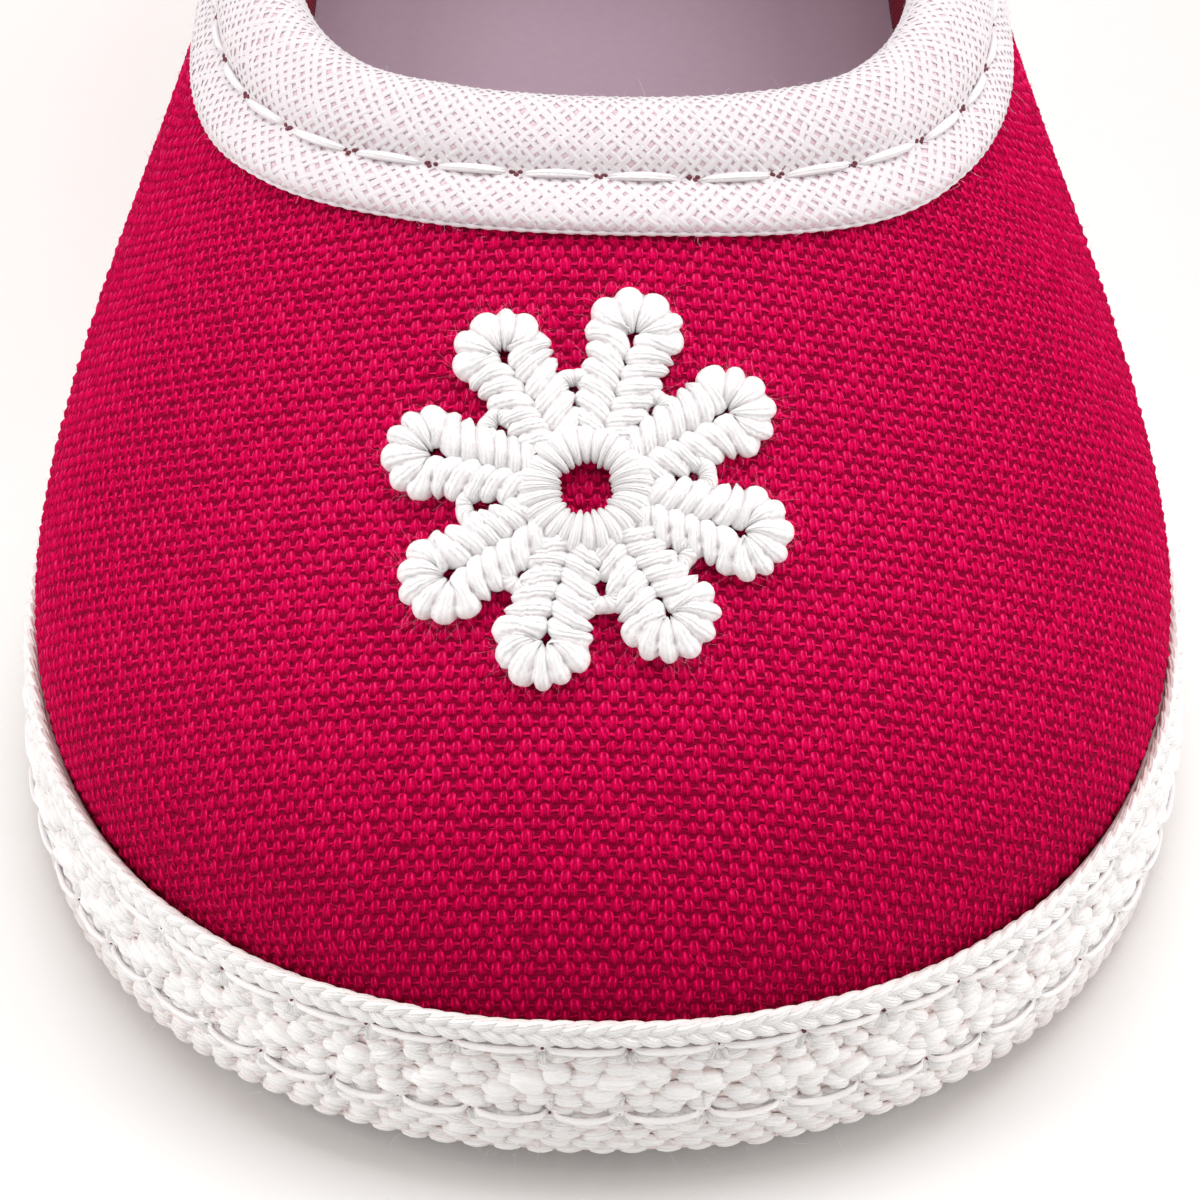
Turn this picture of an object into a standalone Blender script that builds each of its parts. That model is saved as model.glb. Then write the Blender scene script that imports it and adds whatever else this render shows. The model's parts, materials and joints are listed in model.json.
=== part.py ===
"""A baby's cloth slip-on shoe: canvas upper, bias binding, woven sole band, outsole, insole and lace flower.

The toe points along -Y, the heel along +Y and +Z is up. The origin is on the floor, under the middle of the
sole. The shoe is the same on its left and right side, apart from the flower, so it fits either foot.
"""

import math
from bisect import bisect_left
from collections import namedtuple

import bmesh
import bpy
from mathutils import Vector
from mathutils.bvhtree import BVHTree
from mathutils.geometry import delaunay_2d_cdt

MM = 0.001
UP = Vector((0, 0, 1))

# Driving dimensions of the shoe, over the sole band
LENGTH = 120 * MM
BALL_WIDTH = 60 * MM
HEEL_WIDTH = 44.5 * MM
BALL_BACK = 34 * MM  # from the toe's tip to the widest line
HEEL_ROUND = 25 * MM  # length of the rounded heel end
WAIST_PINCH = 0.8 * MM  # taken off each side between ball and heel
TOE_SQUARENESS = 2.15  # exponent of the toe's outline, where 2 is an ellipse

# Sole: its bottom line lifts at the toe and the heel and arches a little at the waist
TOE_SPRING = 2.2 * MM
TOE_SPRING_LENGTH = 24 * MM
HEEL_SPRING = 0.8 * MM
HEEL_SPRING_LENGTH = 9 * MM
ARCH_HEIGHT = 0.7 * MM
ARCH_FROM = 54 * MM
ARCH_TO = 88 * MM
SOLE_THICK = 3.6 * MM
INSOLE_THICK = 2.4 * MM
INSOLE_RIM = 3.2 * MM
INSOLE_DISH = 0.7 * MM  # depth of the footbed below its rim

# Cloth
GAP = 0.3 * MM  # left between pieces that meet
WALL = 1.4 * MM  # canvas and its lining
BAND_OUT = 1.4 * MM  # from the upper's face to the fullest line of the sole band
FEATHER_UP = 8 * MM  # height at which the upper starts to swell, hidden by the band
BINDING_WIDTH = 6 * MM
BINDING_TURN_IN = 5 * MM
BINDING_THICK = 0.8 * MM

# Lace flower: a ring with eight looped petals, joined to their neighbours by small bridges
PETALS = 8
PETAL_TURN = math.radians(30)
PETAL_TIP = 10.2 * MM  # from the flower's middle
PETAL_ROOT = 2.6 * MM
PETAL_HALF_WIDTH = 2.3 * MM
PETAL_ROOT_HALF_WIDTH = 1.25 * MM
EYELET_OUT = 7.4 * MM
EYELET_RADIUS = 0.6 * MM
RING_RADIUS = 3.2 * MM
RING_HOLE = 1.25 * MM
BRIDGE_OUT = 5.5 * MM
BRIDGE_RADIUS = 0.5 * MM
FLOWER_GAP = 0.4 * MM  # keeps its flat facets clear of the rounded vamp
FLOWER_EDGE = 0.6 * MM  # thickness at its edges
FLOWER_CREST = 1.3 * MM  # thickness along the middle of its cords
FLOWER_SHARE = 0.62  # how far up the toe's section its middle sits
FLOWER_ASIDE = -0.8 * MM

# Facets
AROUND_STEPS = 72
RIB_STEPS = 12

# One row for each section of the upper, from the toe round to the heel. around is the share of the half
# outline. The collar's place is given by its distance from the middle, from the toe's tip and from the floor.
# rise and swell shape the wall above the sole, lean and reach shape it below the collar.
Section = namedtuple("Section", "around collar_x collar_back collar_up rise swell lean reach")
SECTIONS = [
    Section(0.00, 0.0 * MM, 37.5 * MM, 36.4 * MM, 9 * MM, 0.4 * MM, 32, 14 * MM),
    Section(0.14, 7.6 * MM, 38.2 * MM, 36.4 * MM, 9 * MM, 1.0 * MM, 33, 14 * MM),
    Section(0.27, 13.4 * MM, 40.8 * MM, 36.2 * MM, 8 * MM, 2.6 * MM, 38, 13 * MM),
    Section(0.40, 17.3 * MM, 47.5 * MM, 35.8 * MM, 7 * MM, 1.8 * MM, 57, 10 * MM),
    Section(0.55, 18.4 * MM, 62.0 * MM, 35.0 * MM, 8 * MM, 0.6 * MM, 72, 10 * MM),
    Section(0.70, 18.0 * MM, 81.0 * MM, 34.5 * MM, 10 * MM, 0.6 * MM, 77, 10 * MM),
    Section(0.84, 16.2 * MM, 100.5 * MM, 37.5 * MM, 12 * MM, 1.0 * MM, 80, 11 * MM),
    Section(0.93, 10.0 * MM, 111.0 * MM, 40.5 * MM, 13 * MM, 1.5 * MM, 84, 12 * MM),
    Section(1.00, 0.0 * MM, 114.2 * MM, 42.0 * MM, 13 * MM, 1.6 * MM, 86, 12 * MM),
]


def clear_scene():
    for obj in list(bpy.data.objects):
        bpy.data.objects.remove(obj)


def cloth(name, colour, roughness):
    material = bpy.data.materials.new(name)
    material.use_nodes = True
    shader = material.node_tree.nodes["Principled BSDF"]
    shader.inputs["Base Color"].default_value = (*colour, 1)
    shader.inputs["Roughness"].default_value = roughness
    shader.inputs["Metallic"].default_value = 0
    return material


def add_object(name, bm, material):
    bmesh.ops.recalc_face_normals(bm, faces=bm.faces)
    mesh = bpy.data.meshes.new(name)
    bm.to_mesh(mesh)
    bm.free()
    mesh.shade_smooth()
    mesh.set_sharp_from_angle(angle=math.radians(50))
    mesh.materials.append(material)
    obj = bpy.data.objects.new(name, mesh)
    bpy.context.scene.collection.objects.link(obj)
    return obj


# Outline of the last, where the upper meets the sole


def smooth_step(t):
    t = min(1.0, max(0.0, t))
    return t * t * (3 - 2 * t)


def half_outline(steps=240):
    """Points (x, distance from the toe's tip) on one side of the upper's foot, from toe to heel."""
    ball_half = BALL_WIDTH / 2 - BAND_OUT
    heel_half = HEEL_WIDTH / 2 - BAND_OUT
    toe_long = BALL_BACK - BAND_OUT
    heel_long = HEEL_ROUND - BAND_OUT
    power = 2 / TOE_SQUARENESS
    points = []
    for i in range(steps):
        angle = math.pi / 2 * i / steps
        back = BALL_BACK - toe_long * math.cos(angle) ** power
        points.append((ball_half * math.sin(angle) ** power, back))
    for i in range(steps):
        back = BALL_BACK + (LENGTH - HEEL_ROUND - BALL_BACK) * i / steps
        pinch = WAIST_PINCH * math.sin(math.pi * i / steps) ** 2
        points.append((ball_half + (heel_half - ball_half) * smooth_step(i / steps) - pinch, back))
    for i in range(steps + 1):
        angle = math.pi / 2 * i / steps
        points.append((heel_half * math.cos(angle), LENGTH - HEEL_ROUND + heel_long * math.sin(angle)))
    return points


HALF_OUTLINE = half_outline()


def outline_lengths():
    lengths = [0.0]
    for a, b in zip(HALF_OUTLINE, HALF_OUTLINE[1:]):
        lengths.append(lengths[-1] + math.dist(a, b))
    return lengths


OUTLINE_LENGTHS = outline_lengths()


def outline(around, grow=0.0):
    """(point, outward direction) in plan at a share of the half outline, moved outwards by grow."""
    wanted = around * OUTLINE_LENGTHS[-1]
    i = min(max(bisect_left(OUTLINE_LENGTHS, wanted) - 1, 0), len(HALF_OUTLINE) - 2)
    a, b = HALF_OUTLINE[i], HALF_OUTLINE[i + 1]
    share = (wanted - OUTLINE_LENGTHS[i]) / (OUTLINE_LENGTHS[i + 1] - OUTLINE_LENGTHS[i])
    point = Vector((a[0] + (b[0] - a[0]) * share, a[1] + (b[1] - a[1]) * share - LENGTH / 2, 0))
    outward = Vector((b[1] - a[1], a[0] - b[0], 0)).normalized()
    if around <= 0:
        outward = Vector((0, -1, 0))
    elif around >= 1:
        outward = Vector((0, 1, 0))
    return point + outward * grow, outward


def sole_lift(y):
    """Height of the sole's bottom line above the floor."""
    back = y + LENGTH / 2
    toe = max(0.0, 1 - back / TOE_SPRING_LENGTH)
    heel = max(0.0, 1 - (LENGTH - back) / HEEL_SPRING_LENGTH)
    waist = min(1.0, max(0.0, (back - ARCH_FROM) / (ARCH_TO - ARCH_FROM)))
    return TOE_SPRING * toe**2 + HEEL_SPRING * heel**2 + ARCH_HEIGHT * math.sin(math.pi * waist) ** 2


# Upper's wall


def section_at(around):
    """The row of SECTIONS at any place round the shoe, on a smooth curve through the rows."""
    first, last = SECTIONS[1], SECTIONS[-2]
    rows = [
        first._replace(around=-first.around, collar_x=-first.collar_x),
        *SECTIONS,
        last._replace(around=2 - last.around, collar_x=-last.collar_x),
    ]
    i = max(1, next((k for k in range(1, len(rows) - 2) if rows[k + 1].around >= around), len(rows) - 3))
    before, start, end, after = rows[i - 1 : i + 3]
    span = end.around - start.around
    t = (around - start.around) / span
    values = []
    for column in range(1, len(start)):
        steps = [
            (b[column] - a[column]) / (b.around - a.around)
            for a, b in ((before, start), (start, end), (end, after))
        ]
        leave = (steps[0] * span + steps[1] * (start.around - before.around)) / (end.around - before.around)
        arrive = (steps[1] * (after.around - end.around) + steps[2] * span) / (after.around - start.around)
        values.append(
            start[column] * (1 + 2 * t) * (1 - t) ** 2
            + leave * span * t * (1 - t) ** 2
            + end[column] * t * t * (3 - 2 * t)
            + arrive * span * t * t * (t - 1)
        )
    return Section(around, *values)


def wall_point(around, share):
    """A point of the upper's outer face on its right side: share runs from the foot, 0, to the collar, 1."""
    row = section_at(around)
    foot, outward = outline(around)
    foot = foot + UP * (FEATHER_UP + sole_lift(foot.y))
    collar = Vector((row.collar_x, row.collar_back - LENGTH / 2, row.collar_up))
    away = Vector((foot.x - collar.x, foot.y - collar.y, 0)).normalized()
    lean = math.radians(row.lean)
    low = foot + UP * row.rise + outward * row.swell
    high = collar + (away * math.cos(lean) - UP * math.sin(lean)) * row.reach
    rest = 1 - share
    return foot * rest**3 + low * 3 * rest**2 * share + high * 3 * rest * share**2 + collar * share**3


def mirrored(v):
    return Vector((-v.x, v.y, v.z))


def around_places():
    """(share of the half outline, True on the left side) for each rib, once round the shoe from the toe."""
    half = AROUND_STEPS // 2
    right = [(i / half, False) for i in range(half + 1)]
    left = [(i / half, True) for i in range(half - 1, 0, -1)]
    return right + left


def wall_normal(around, share, step=0.002):
    """Outward direction of the upper's face on its right side."""
    low, high = max(0.0, share - step), min(1.0, share + step)
    along = wall_point(around, high) - wall_point(around, low)
    ahead = wall_point(min(1.0, around + step), share)
    behind = wall_point(max(0.0, around - step), share)
    if around < step:
        behind = mirrored(ahead)
    elif around > 1 - step:
        ahead = mirrored(behind)
    return (ahead - behind).cross(along).normalized()


def rib_points(around, left, deep):
    """Points up one rib of the upper, deep below its outer face, from the lasting margin to the collar."""
    points = []
    for i in range(RIB_STEPS + 1):
        share = i / RIB_STEPS
        points.append(wall_point(around, share) - wall_normal(around, share) * deep)
    foot, outward = outline(around)
    margin = foot - outward * deep + UP * (SOLE_THICK + GAP + sole_lift(foot.y))
    points.insert(0, margin)
    return [mirrored(p) for p in points] if left else points


def ring_of_loops(loops):
    """A closed surface from loops of points, each loop joined to the next and the last to the first."""
    bm = bmesh.new()
    rings = [[bm.verts.new(p) for p in loop] for loop in loops]
    for a, b in zip(rings, rings[1:] + rings[:1]):
        for i in range(len(a)):
            j = (i + 1) % len(a)
            bm.faces.new((a[i], a[j], b[j], b[i]))
    return bm


def make_upper(material):
    loops = []
    for around, left in around_places():
        outer = rib_points(around, left, 0)
        inner = rib_points(around, left, WALL)
        loops.append(outer + inner[::-1])
    return add_object("upper", ring_of_loops(loops), material)


# Binding folded over the collar


def share_below_collar(around, distance, steps=60):
    """The share at which the wall is that far below the collar, measured along the rib."""
    here, gone = wall_point(around, 1), 0.0
    for i in range(steps - 1, -1, -1):
        point = wall_point(around, i / steps)
        length = (point - here).length
        if gone + length >= distance:
            return (i + 1 - (distance - gone) / length) / steps
        here, gone = point, gone + length
    return 0.0


def binding_loop(around, left, outside_steps=3, inside_steps=2, roll_steps=4):
    """Section of the folded tape: down the outside, round the collar's edge and down the inside."""
    low_out = share_below_collar(around, BINDING_WIDTH)
    low_in = share_below_collar(around, BINDING_TURN_IN)
    near, far = GAP, GAP + BINDING_THICK

    def face(share, lift):
        return wall_point(around, share) + wall_normal(around, share) * lift

    outside = [low_out + (1 - low_out) * i / outside_steps for i in range(outside_steps + 1)]
    inside = [1 + (low_in - 1) * i / inside_steps for i in range(inside_steps + 1)]
    edge = wall_point(around, 1)
    normal = wall_normal(around, 1)
    upwards = (edge - wall_point(around, 0.98)).normalized()
    middle = edge - normal * (WALL / 2)
    radius = WALL / 2 + far
    roll = []
    for i in range(1, roll_steps):
        angle = math.pi * i / roll_steps
        roll.append(middle + normal * (radius * math.cos(angle)) + upwards * (radius * math.sin(angle)))
    outer = [face(s, far) for s in outside] + roll + [face(s, -WALL - far) for s in inside]
    inner = [face(s, -WALL - near) for s in inside[::-1]]
    inner[-1] += upwards * near
    back = [face(s, near) for s in outside[::-1]]
    back[0] += upwards * near
    loop = outer + inner + back
    return [mirrored(p) for p in loop] if left else loop


def make_binding(material):
    loops = [binding_loop(around, left) for around, left in around_places()]
    return add_object("collar_binding", ring_of_loops(loops), material)


# Sole: band, outsole and insole

# Section of the band: out from the upper's face and up from the sole's bottom line
BandPoint = namedtuple("BandPoint", "out up")
BAND_SECTION = [
    BandPoint(GAP, 0.3 * MM),
    BandPoint(0.85 * MM, 0.3 * MM),
    BandPoint(1.15 * MM, 0.8 * MM),
    BandPoint(1.2 * MM, 1.7 * MM),
    BandPoint(1.05 * MM, 2.1 * MM),
    BandPoint(1.3 * MM, 2.8 * MM),
    BandPoint(BAND_OUT, 4.2 * MM),
    BandPoint(1.3 * MM, 5.8 * MM),
    BandPoint(0.9 * MM, 6.8 * MM),
    BandPoint(1.05 * MM, 7.4 * MM),
    BandPoint(1.0 * MM, 8.5 * MM),
    BandPoint(0.7 * MM, 9.1 * MM),
    BandPoint(GAP, 9.1 * MM),
]


def sole_ring(grow, up):
    """Points once round the shoe, out from the upper's face by grow and up from the sole's bottom line."""
    points = []
    for around, left in around_places():
        point, _ = outline(around, grow)
        point = point + UP * (up + sole_lift(point.y))
        points.append(mirrored(point) if left else point)
    return points


def make_band(material):
    rings = [sole_ring(row.out, row.up) for row in BAND_SECTION]
    return add_object("sole_band", ring_of_loops([list(loop) for loop in zip(*rings)]), material)


def capped_rings(rings):
    """A closed slab from rings of points: each is joined to the next, the first and the last are filled."""
    bm = bmesh.new()
    levels = [[bm.verts.new(p) for p in ring] for ring in rings]
    count = len(levels[0])
    for low, high in zip(levels, levels[1:]):
        for i in range(count):
            j = (i + 1) % count
            bm.faces.new((low[i], low[j], high[j], high[i]))
    for level in (levels[0], levels[-1]):
        for i in range(count // 2):
            # At the toe and at the heel two of the corners are the same point
            corners = dict.fromkeys((level[i], level[i + 1], level[count - i - 1], level[-i]))
            bm.faces.new(list(corners))
    return bm


def make_outsole(material):
    rings = [sole_ring(0, 0), sole_ring(0, SOLE_THICK)]
    return add_object("outsole", capped_rings(rings), material)


def make_insole(material):
    edge = -(WALL + GAP)
    low = SOLE_THICK + GAP
    rim = low + INSOLE_THICK
    rings = [
        sole_ring(edge, low),
        sole_ring(edge, rim),
        sole_ring(edge - INSOLE_RIM / 2, rim),
        sole_ring(edge - INSOLE_RIM, rim - INSOLE_DISH),
    ]
    return add_object("insole", capped_rings(rings), material)


# Lace flower


def spot(out, angle):
    return Vector((out * math.cos(angle), out * math.sin(angle)))


def circle(middle, radius, steps):
    return [middle + spot(radius, 2 * math.pi * i / steps) for i in range(steps)]


def petal(turn, inset, tip_steps):
    """Outline of one petal: a narrow root that widens into a round tip, drawn inset from its edge."""
    along, across = spot(1, turn), spot(1, turn + math.pi / 2)
    half = PETAL_HALF_WIDTH - inset
    root_half = PETAL_ROOT_HALF_WIDTH - inset
    middle = along * (PETAL_TIP - PETAL_HALF_WIDTH)
    points = [along * PETAL_ROOT - across * root_half]
    for i in range(tip_steps + 1):
        angle = -math.pi / 2 + math.pi * i / tip_steps
        points.append(middle + along * (half * math.cos(angle)) + across * (half * math.sin(angle)))
    points.append(along * PETAL_ROOT + across * root_half)
    return points


def flower_plan():
    """(points, triangles) of the flower laid flat. Crest loops are there to give it rounded cords."""
    turns = [PETAL_TURN + 2 * math.pi * i / PETALS for i in range(PETALS)]
    between = math.pi / PETALS
    middle = Vector((0, 0))
    filled = [petal(turn, 0, 8) for turn in turns]
    filled.append(circle(middle, RING_RADIUS, 32))
    filled += [circle(spot(BRIDGE_OUT, turn + between), BRIDGE_RADIUS, 8) for turn in turns]
    open_loops = [circle(spot(EYELET_OUT, turn), EYELET_RADIUS, 8) for turn in turns]
    open_loops.append(circle(middle, RING_HOLE, 16))
    crests = [petal(turn, PETAL_HALF_WIDTH * 0.45, 6) for turn in turns]
    crests.append(circle(middle, (RING_RADIUS + RING_HOLE) / 2, 24))
    points, loops = [], []
    for loop in filled + open_loops + crests:
        loops.append(list(range(len(points), len(points) + len(loop))))
        points += loop
    flat, _, faces, _, _, inside = delaunay_2d_cdt(points, [], loops, 0, 0.02 * MM)
    solid_loops = set(range(len(filled)))
    hole_loops = set(range(len(filled), len(filled) + len(open_loops)))
    kept = []
    for face, owners in zip(faces, inside):
        if solid_loops & set(owners) and not hole_loops & set(owners):
            kept.append(face)
    return flat, kept


def make_flower(upper, material):
    flat, triangles = flower_plan()
    outer_face = BVHTree.FromObject(upper, bpy.context.evaluated_depsgraph_get())
    middle = wall_point(0, FLOWER_SHARE) + Vector((FLOWER_ASIDE, 0, 0))
    normal = wall_normal(0, FLOWER_SHARE)
    across = Vector((1, 0, 0))
    upwards = normal.cross(across)
    uses = {}
    for triangle in triangles:
        for a, b in zip(triangle, triangle[1:] + triangle[:1]):
            edge = (min(a, b), max(a, b))
            uses[edge] = uses.get(edge, 0) + 1
    rim = {v for edge, count in uses.items() if count == 1 for v in edge}
    bm = bmesh.new()
    low, high = {}, {}
    for v in sorted({v for triangle in triangles for v in triangle}):
        above = middle + across * flat[v].x + upwards * flat[v].y + normal * PETAL_TIP
        base, _, _, _ = outer_face.ray_cast(above, -normal)
        low[v] = bm.verts.new(base + normal * FLOWER_GAP)
        thick = FLOWER_EDGE if v in rim else FLOWER_CREST
        high[v] = bm.verts.new(base + normal * (FLOWER_GAP + thick))
    for triangle in triangles:
        bm.faces.new([high[v] for v in triangle])
        bm.faces.new([low[v] for v in reversed(triangle)])
        for a, b in zip(triangle, triangle[1:] + triangle[:1]):
            if uses[(min(a, b), max(a, b))] == 1:
                bm.faces.new((low[a], low[b], high[b], high[a]))
    return add_object("flower", bm, material)


def main():
    clear_scene()
    red = cloth("crimson_canvas", (0.60, 0.005, 0.06), 0.85)
    tape = cloth("white_bias_tape", (0.86, 0.84, 0.85), 0.75)
    braid = cloth("white_braid", (0.86, 0.85, 0.85), 0.6)
    lace = cloth("white_lace", (0.90, 0.89, 0.89), 0.5)
    sole = cloth("white_sole", (0.75, 0.73, 0.72), 0.7)
    lilac = cloth("lilac_lining", (0.50, 0.40, 0.48), 0.55)
    upper = make_upper(red)
    make_binding(tape)
    make_band(braid)
    make_outsole(sole)
    make_insole(lilac)
    make_flower(upper, lace)


main()
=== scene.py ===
import json
import math
from collections import namedtuple

import bmesh
import bpy
import numpy as np
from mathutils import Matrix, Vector
from mathutils.bvhtree import BVHTree

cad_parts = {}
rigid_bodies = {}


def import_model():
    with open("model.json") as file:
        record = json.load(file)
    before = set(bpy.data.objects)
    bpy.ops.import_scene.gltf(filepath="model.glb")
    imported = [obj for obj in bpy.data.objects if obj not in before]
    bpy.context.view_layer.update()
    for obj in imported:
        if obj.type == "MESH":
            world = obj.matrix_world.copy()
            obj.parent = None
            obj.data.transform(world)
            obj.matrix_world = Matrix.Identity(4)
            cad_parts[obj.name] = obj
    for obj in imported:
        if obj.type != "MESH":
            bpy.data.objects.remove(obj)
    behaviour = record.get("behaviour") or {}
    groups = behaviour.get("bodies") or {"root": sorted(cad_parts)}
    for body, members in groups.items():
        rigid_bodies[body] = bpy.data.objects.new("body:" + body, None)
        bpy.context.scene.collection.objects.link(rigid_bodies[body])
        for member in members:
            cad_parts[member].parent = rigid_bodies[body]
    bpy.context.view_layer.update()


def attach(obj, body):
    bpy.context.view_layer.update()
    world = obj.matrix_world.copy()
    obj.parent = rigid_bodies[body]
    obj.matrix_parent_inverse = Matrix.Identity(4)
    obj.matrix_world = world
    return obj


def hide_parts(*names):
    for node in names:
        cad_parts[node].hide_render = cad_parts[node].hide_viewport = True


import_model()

# The looks of a baby's cloth shoe: woven canvas, bias binding, braided sole band, lace flower, sole, insole.
# Every piece is worked out from the same sizes as the solid that it stands for, in the same frame: the toe
# points along -Y and the origin is on the floor. Values are in metres, and the rows that millimetres() reads
# are in millimetres.

MM = 0.001
UP = np.array((0.0, 0.0, 1.0))
RANDOM = np.random.default_rng(7)


def millimetres(kind, rows, plain=()):
    """Rows of a table with named columns, given in millimetres apart from the plain columns."""
    scales = [1 if column in plain else MM for column in kind._fields]
    return [kind(*(value * scale for value, scale in zip(row, scales))) for row in rows]


# Sizes of the shoe
LENGTH = 120 * MM
BALL_WIDTH = 60 * MM
HEEL_WIDTH = 44.5 * MM
BALL_BACK = 34 * MM
HEEL_ROUND = 25 * MM
WAIST_PINCH = 0.8 * MM
TOE_SQUARENESS = 2.15
TOE_SPRING = 2.2 * MM
TOE_SPRING_LENGTH = 24 * MM
HEEL_SPRING = 0.8 * MM
HEEL_SPRING_LENGTH = 9 * MM
ARCH_HEIGHT = 0.7 * MM
ARCH_FROM = 54 * MM
ARCH_TO = 88 * MM
SOLE_THICK = 3.6 * MM
INSOLE_THICK = 2.4 * MM
GAP = 0.3 * MM
WALL = 1.4 * MM
BAND_OUT = 1.4 * MM
FEATHER_UP = 8 * MM

Section = namedtuple("Section", "around collar_x collar_back collar_up rise swell lean reach")
SECTIONS = millimetres(
    Section,
    [
        (0.00, 0.0, 37.5, 36.4, 9, 0.4, 32, 14),
        (0.14, 7.6, 38.2, 36.4, 9, 1.0, 33, 14),
        (0.27, 13.4, 40.8, 36.2, 8, 2.6, 38, 13),
        (0.40, 17.3, 47.5, 35.8, 7, 1.8, 57, 10),
        (0.55, 18.4, 62.0, 35.0, 8, 0.6, 72, 10),
        (0.70, 18.0, 81.0, 34.5, 10, 0.6, 77, 10),
        (0.84, 16.2, 100.5, 37.5, 12, 1.0, 80, 11),
        (0.93, 10.0, 111.0, 40.5, 13, 1.5, 84, 12),
        (1.00, 0.0, 114.2, 42.0, 13, 1.6, 86, 12),
    ],
    plain=("around", "lean"),
)

# Camera, at the photograph's angle
CAMERA_ELEVATION = math.radians(42)
CAMERA_DISTANCE = 260 * MM
CAMERA_TARGET = Vector((-0.15 * MM, -41.7 * MM, 22.2 * MM))
CAMERA_LENS = 162  # in millimetres, as is the sensor
CAMERA_SENSOR = 36


# Shape of the shoe, for arrays of places. turn runs once round it: -1 and 1 at the heel, 0 at the toe.


def unit(vectors):
    return vectors / np.linalg.norm(vectors, axis=-1, keepdims=True)


def smooth_step(t):
    t = np.clip(t, 0, 1)
    return t * t * (3 - 2 * t)


def to_the_right(directions):
    """Directions in a plane after a quarter turn to the right."""
    return np.stack((directions[..., 1], -directions[..., 0]), -1)


def along_face(directions, normals):
    """Directions laid flat on a face with the given outward directions."""
    return unit(directions - normals * (directions * normals).sum(1, keepdims=True))


def circle(count):
    """Angles of evenly spaced points once round a circle."""
    return 2 * np.pi * np.arange(count) / count


def running_sum(steps):
    return np.concatenate(([0], np.cumsum(steps)))


def lengths_along(points):
    """How far along a line of points each of them is."""
    return running_sum(np.linalg.norm(np.diff(points, axis=0), axis=1))


def half_outline(steps=240):
    """Points (x, distance from the toe's tip) on one side of the upper's foot, from the toe to the heel."""
    ball_half = BALL_WIDTH / 2 - BAND_OUT
    heel_half = HEEL_WIDTH / 2 - BAND_OUT
    power = 2 / TOE_SQUARENESS
    share = np.arange(steps) / steps
    angle = np.pi / 2 * share
    toe_back = BALL_BACK - (BALL_BACK - BAND_OUT) * np.cos(angle) ** power
    toe = np.stack((ball_half * np.sin(angle) ** power, toe_back), 1)
    pinch = WAIST_PINCH * np.sin(np.pi * share) ** 2
    half = ball_half + (heel_half - ball_half) * smooth_step(share) - pinch
    waist = np.stack((half, BALL_BACK + (LENGTH - HEEL_ROUND - BALL_BACK) * share), 1)
    angle = np.pi / 2 * np.arange(steps + 1) / steps
    heel_back = LENGTH - HEEL_ROUND + (HEEL_ROUND - BAND_OUT) * np.sin(angle)
    heel = np.stack((heel_half * np.cos(angle), heel_back), 1)
    return np.concatenate((toe, waist, heel))


def outward_directions(points, run):
    along = np.gradient(points, run, axis=0)
    outward = unit(to_the_right(along))
    outward[0] = (0, -1)
    outward[-1] = (0, 1)
    return outward


HALF_OUTLINE = half_outline()
OUTLINE_RUN = lengths_along(HALF_OUTLINE)
OUTLINE_OUTWARD = outward_directions(HALF_OUTLINE, OUTLINE_RUN)
HALF_LENGTH = OUTLINE_RUN[-1]


def sole_lift(y):
    """Height of the sole's bottom line above the floor."""
    back = y + LENGTH / 2
    toe = np.maximum(0, 1 - back / TOE_SPRING_LENGTH)
    heel = np.maximum(0, 1 - (LENGTH - back) / HEEL_SPRING_LENGTH)
    waist = np.clip((back - ARCH_FROM) / (ARCH_TO - ARCH_FROM), 0, 1)
    return TOE_SPRING * toe**2 + HEEL_SPRING * heel**2 + ARCH_HEIGHT * np.sin(np.pi * waist) ** 2


def around_and_side(turn):
    """(share of the half outline, -1 on the left or 1 on the right) of places round the shoe."""
    turn = (np.asarray(turn, float) + 1) % 2 - 1
    return np.abs(turn), np.where(turn < 0, -1.0, 1.0)


def outline(turn):
    """(points, outward directions) of the upper's foot in plan."""
    around, side = around_and_side(turn)
    run = around * HALF_LENGTH
    x, back = (np.interp(run, OUTLINE_RUN, HALF_OUTLINE[:, k]) for k in (0, 1))
    out_x, out_y = (np.interp(run, OUTLINE_RUN, OUTLINE_OUTWARD[:, k]) for k in (0, 1))
    flat = np.zeros_like(run)
    points = np.stack((side * x, back - LENGTH / 2, flat), -1)
    return points, unit(np.stack((side * out_x, out_y, flat), -1))


def mirrored_rows():
    first, last = SECTIONS[1], SECTIONS[-2]
    before = first._replace(around=-first.around, collar_x=-first.collar_x)
    after = last._replace(around=2 - last.around, collar_x=-last.collar_x)
    return np.array([before, *SECTIONS, after])


ROWS = mirrored_rows()
SPANS = np.diff(ROWS[:, 0])[:, None]
STEPS = np.diff(ROWS[:, 1:], axis=0) / SPANS
SLOPES = (STEPS[:-1] * SPANS[1:] + STEPS[1:] * SPANS[:-1]) / (SPANS[1:] + SPANS[:-1])


def section_at(around):
    """The rows of SECTIONS at any places round the shoe, on a smooth curve through the rows."""
    i = np.clip(np.searchsorted(ROWS[:, 0], around) - 1, 1, len(ROWS) - 3)
    span = SPANS[i]
    t = (around - ROWS[i, 0])[..., None] / span
    values = (
        ROWS[i, 1:] * (1 + 2 * t) * (1 - t) ** 2
        + SLOPES[i - 1] * span * t * (1 - t) ** 2
        + ROWS[i + 1, 1:] * t * t * (3 - 2 * t)
        + SLOPES[i] * span * t * t * (t - 1)
    )
    return Section(around, *(values[..., k] for k in range(values.shape[-1])))


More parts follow.
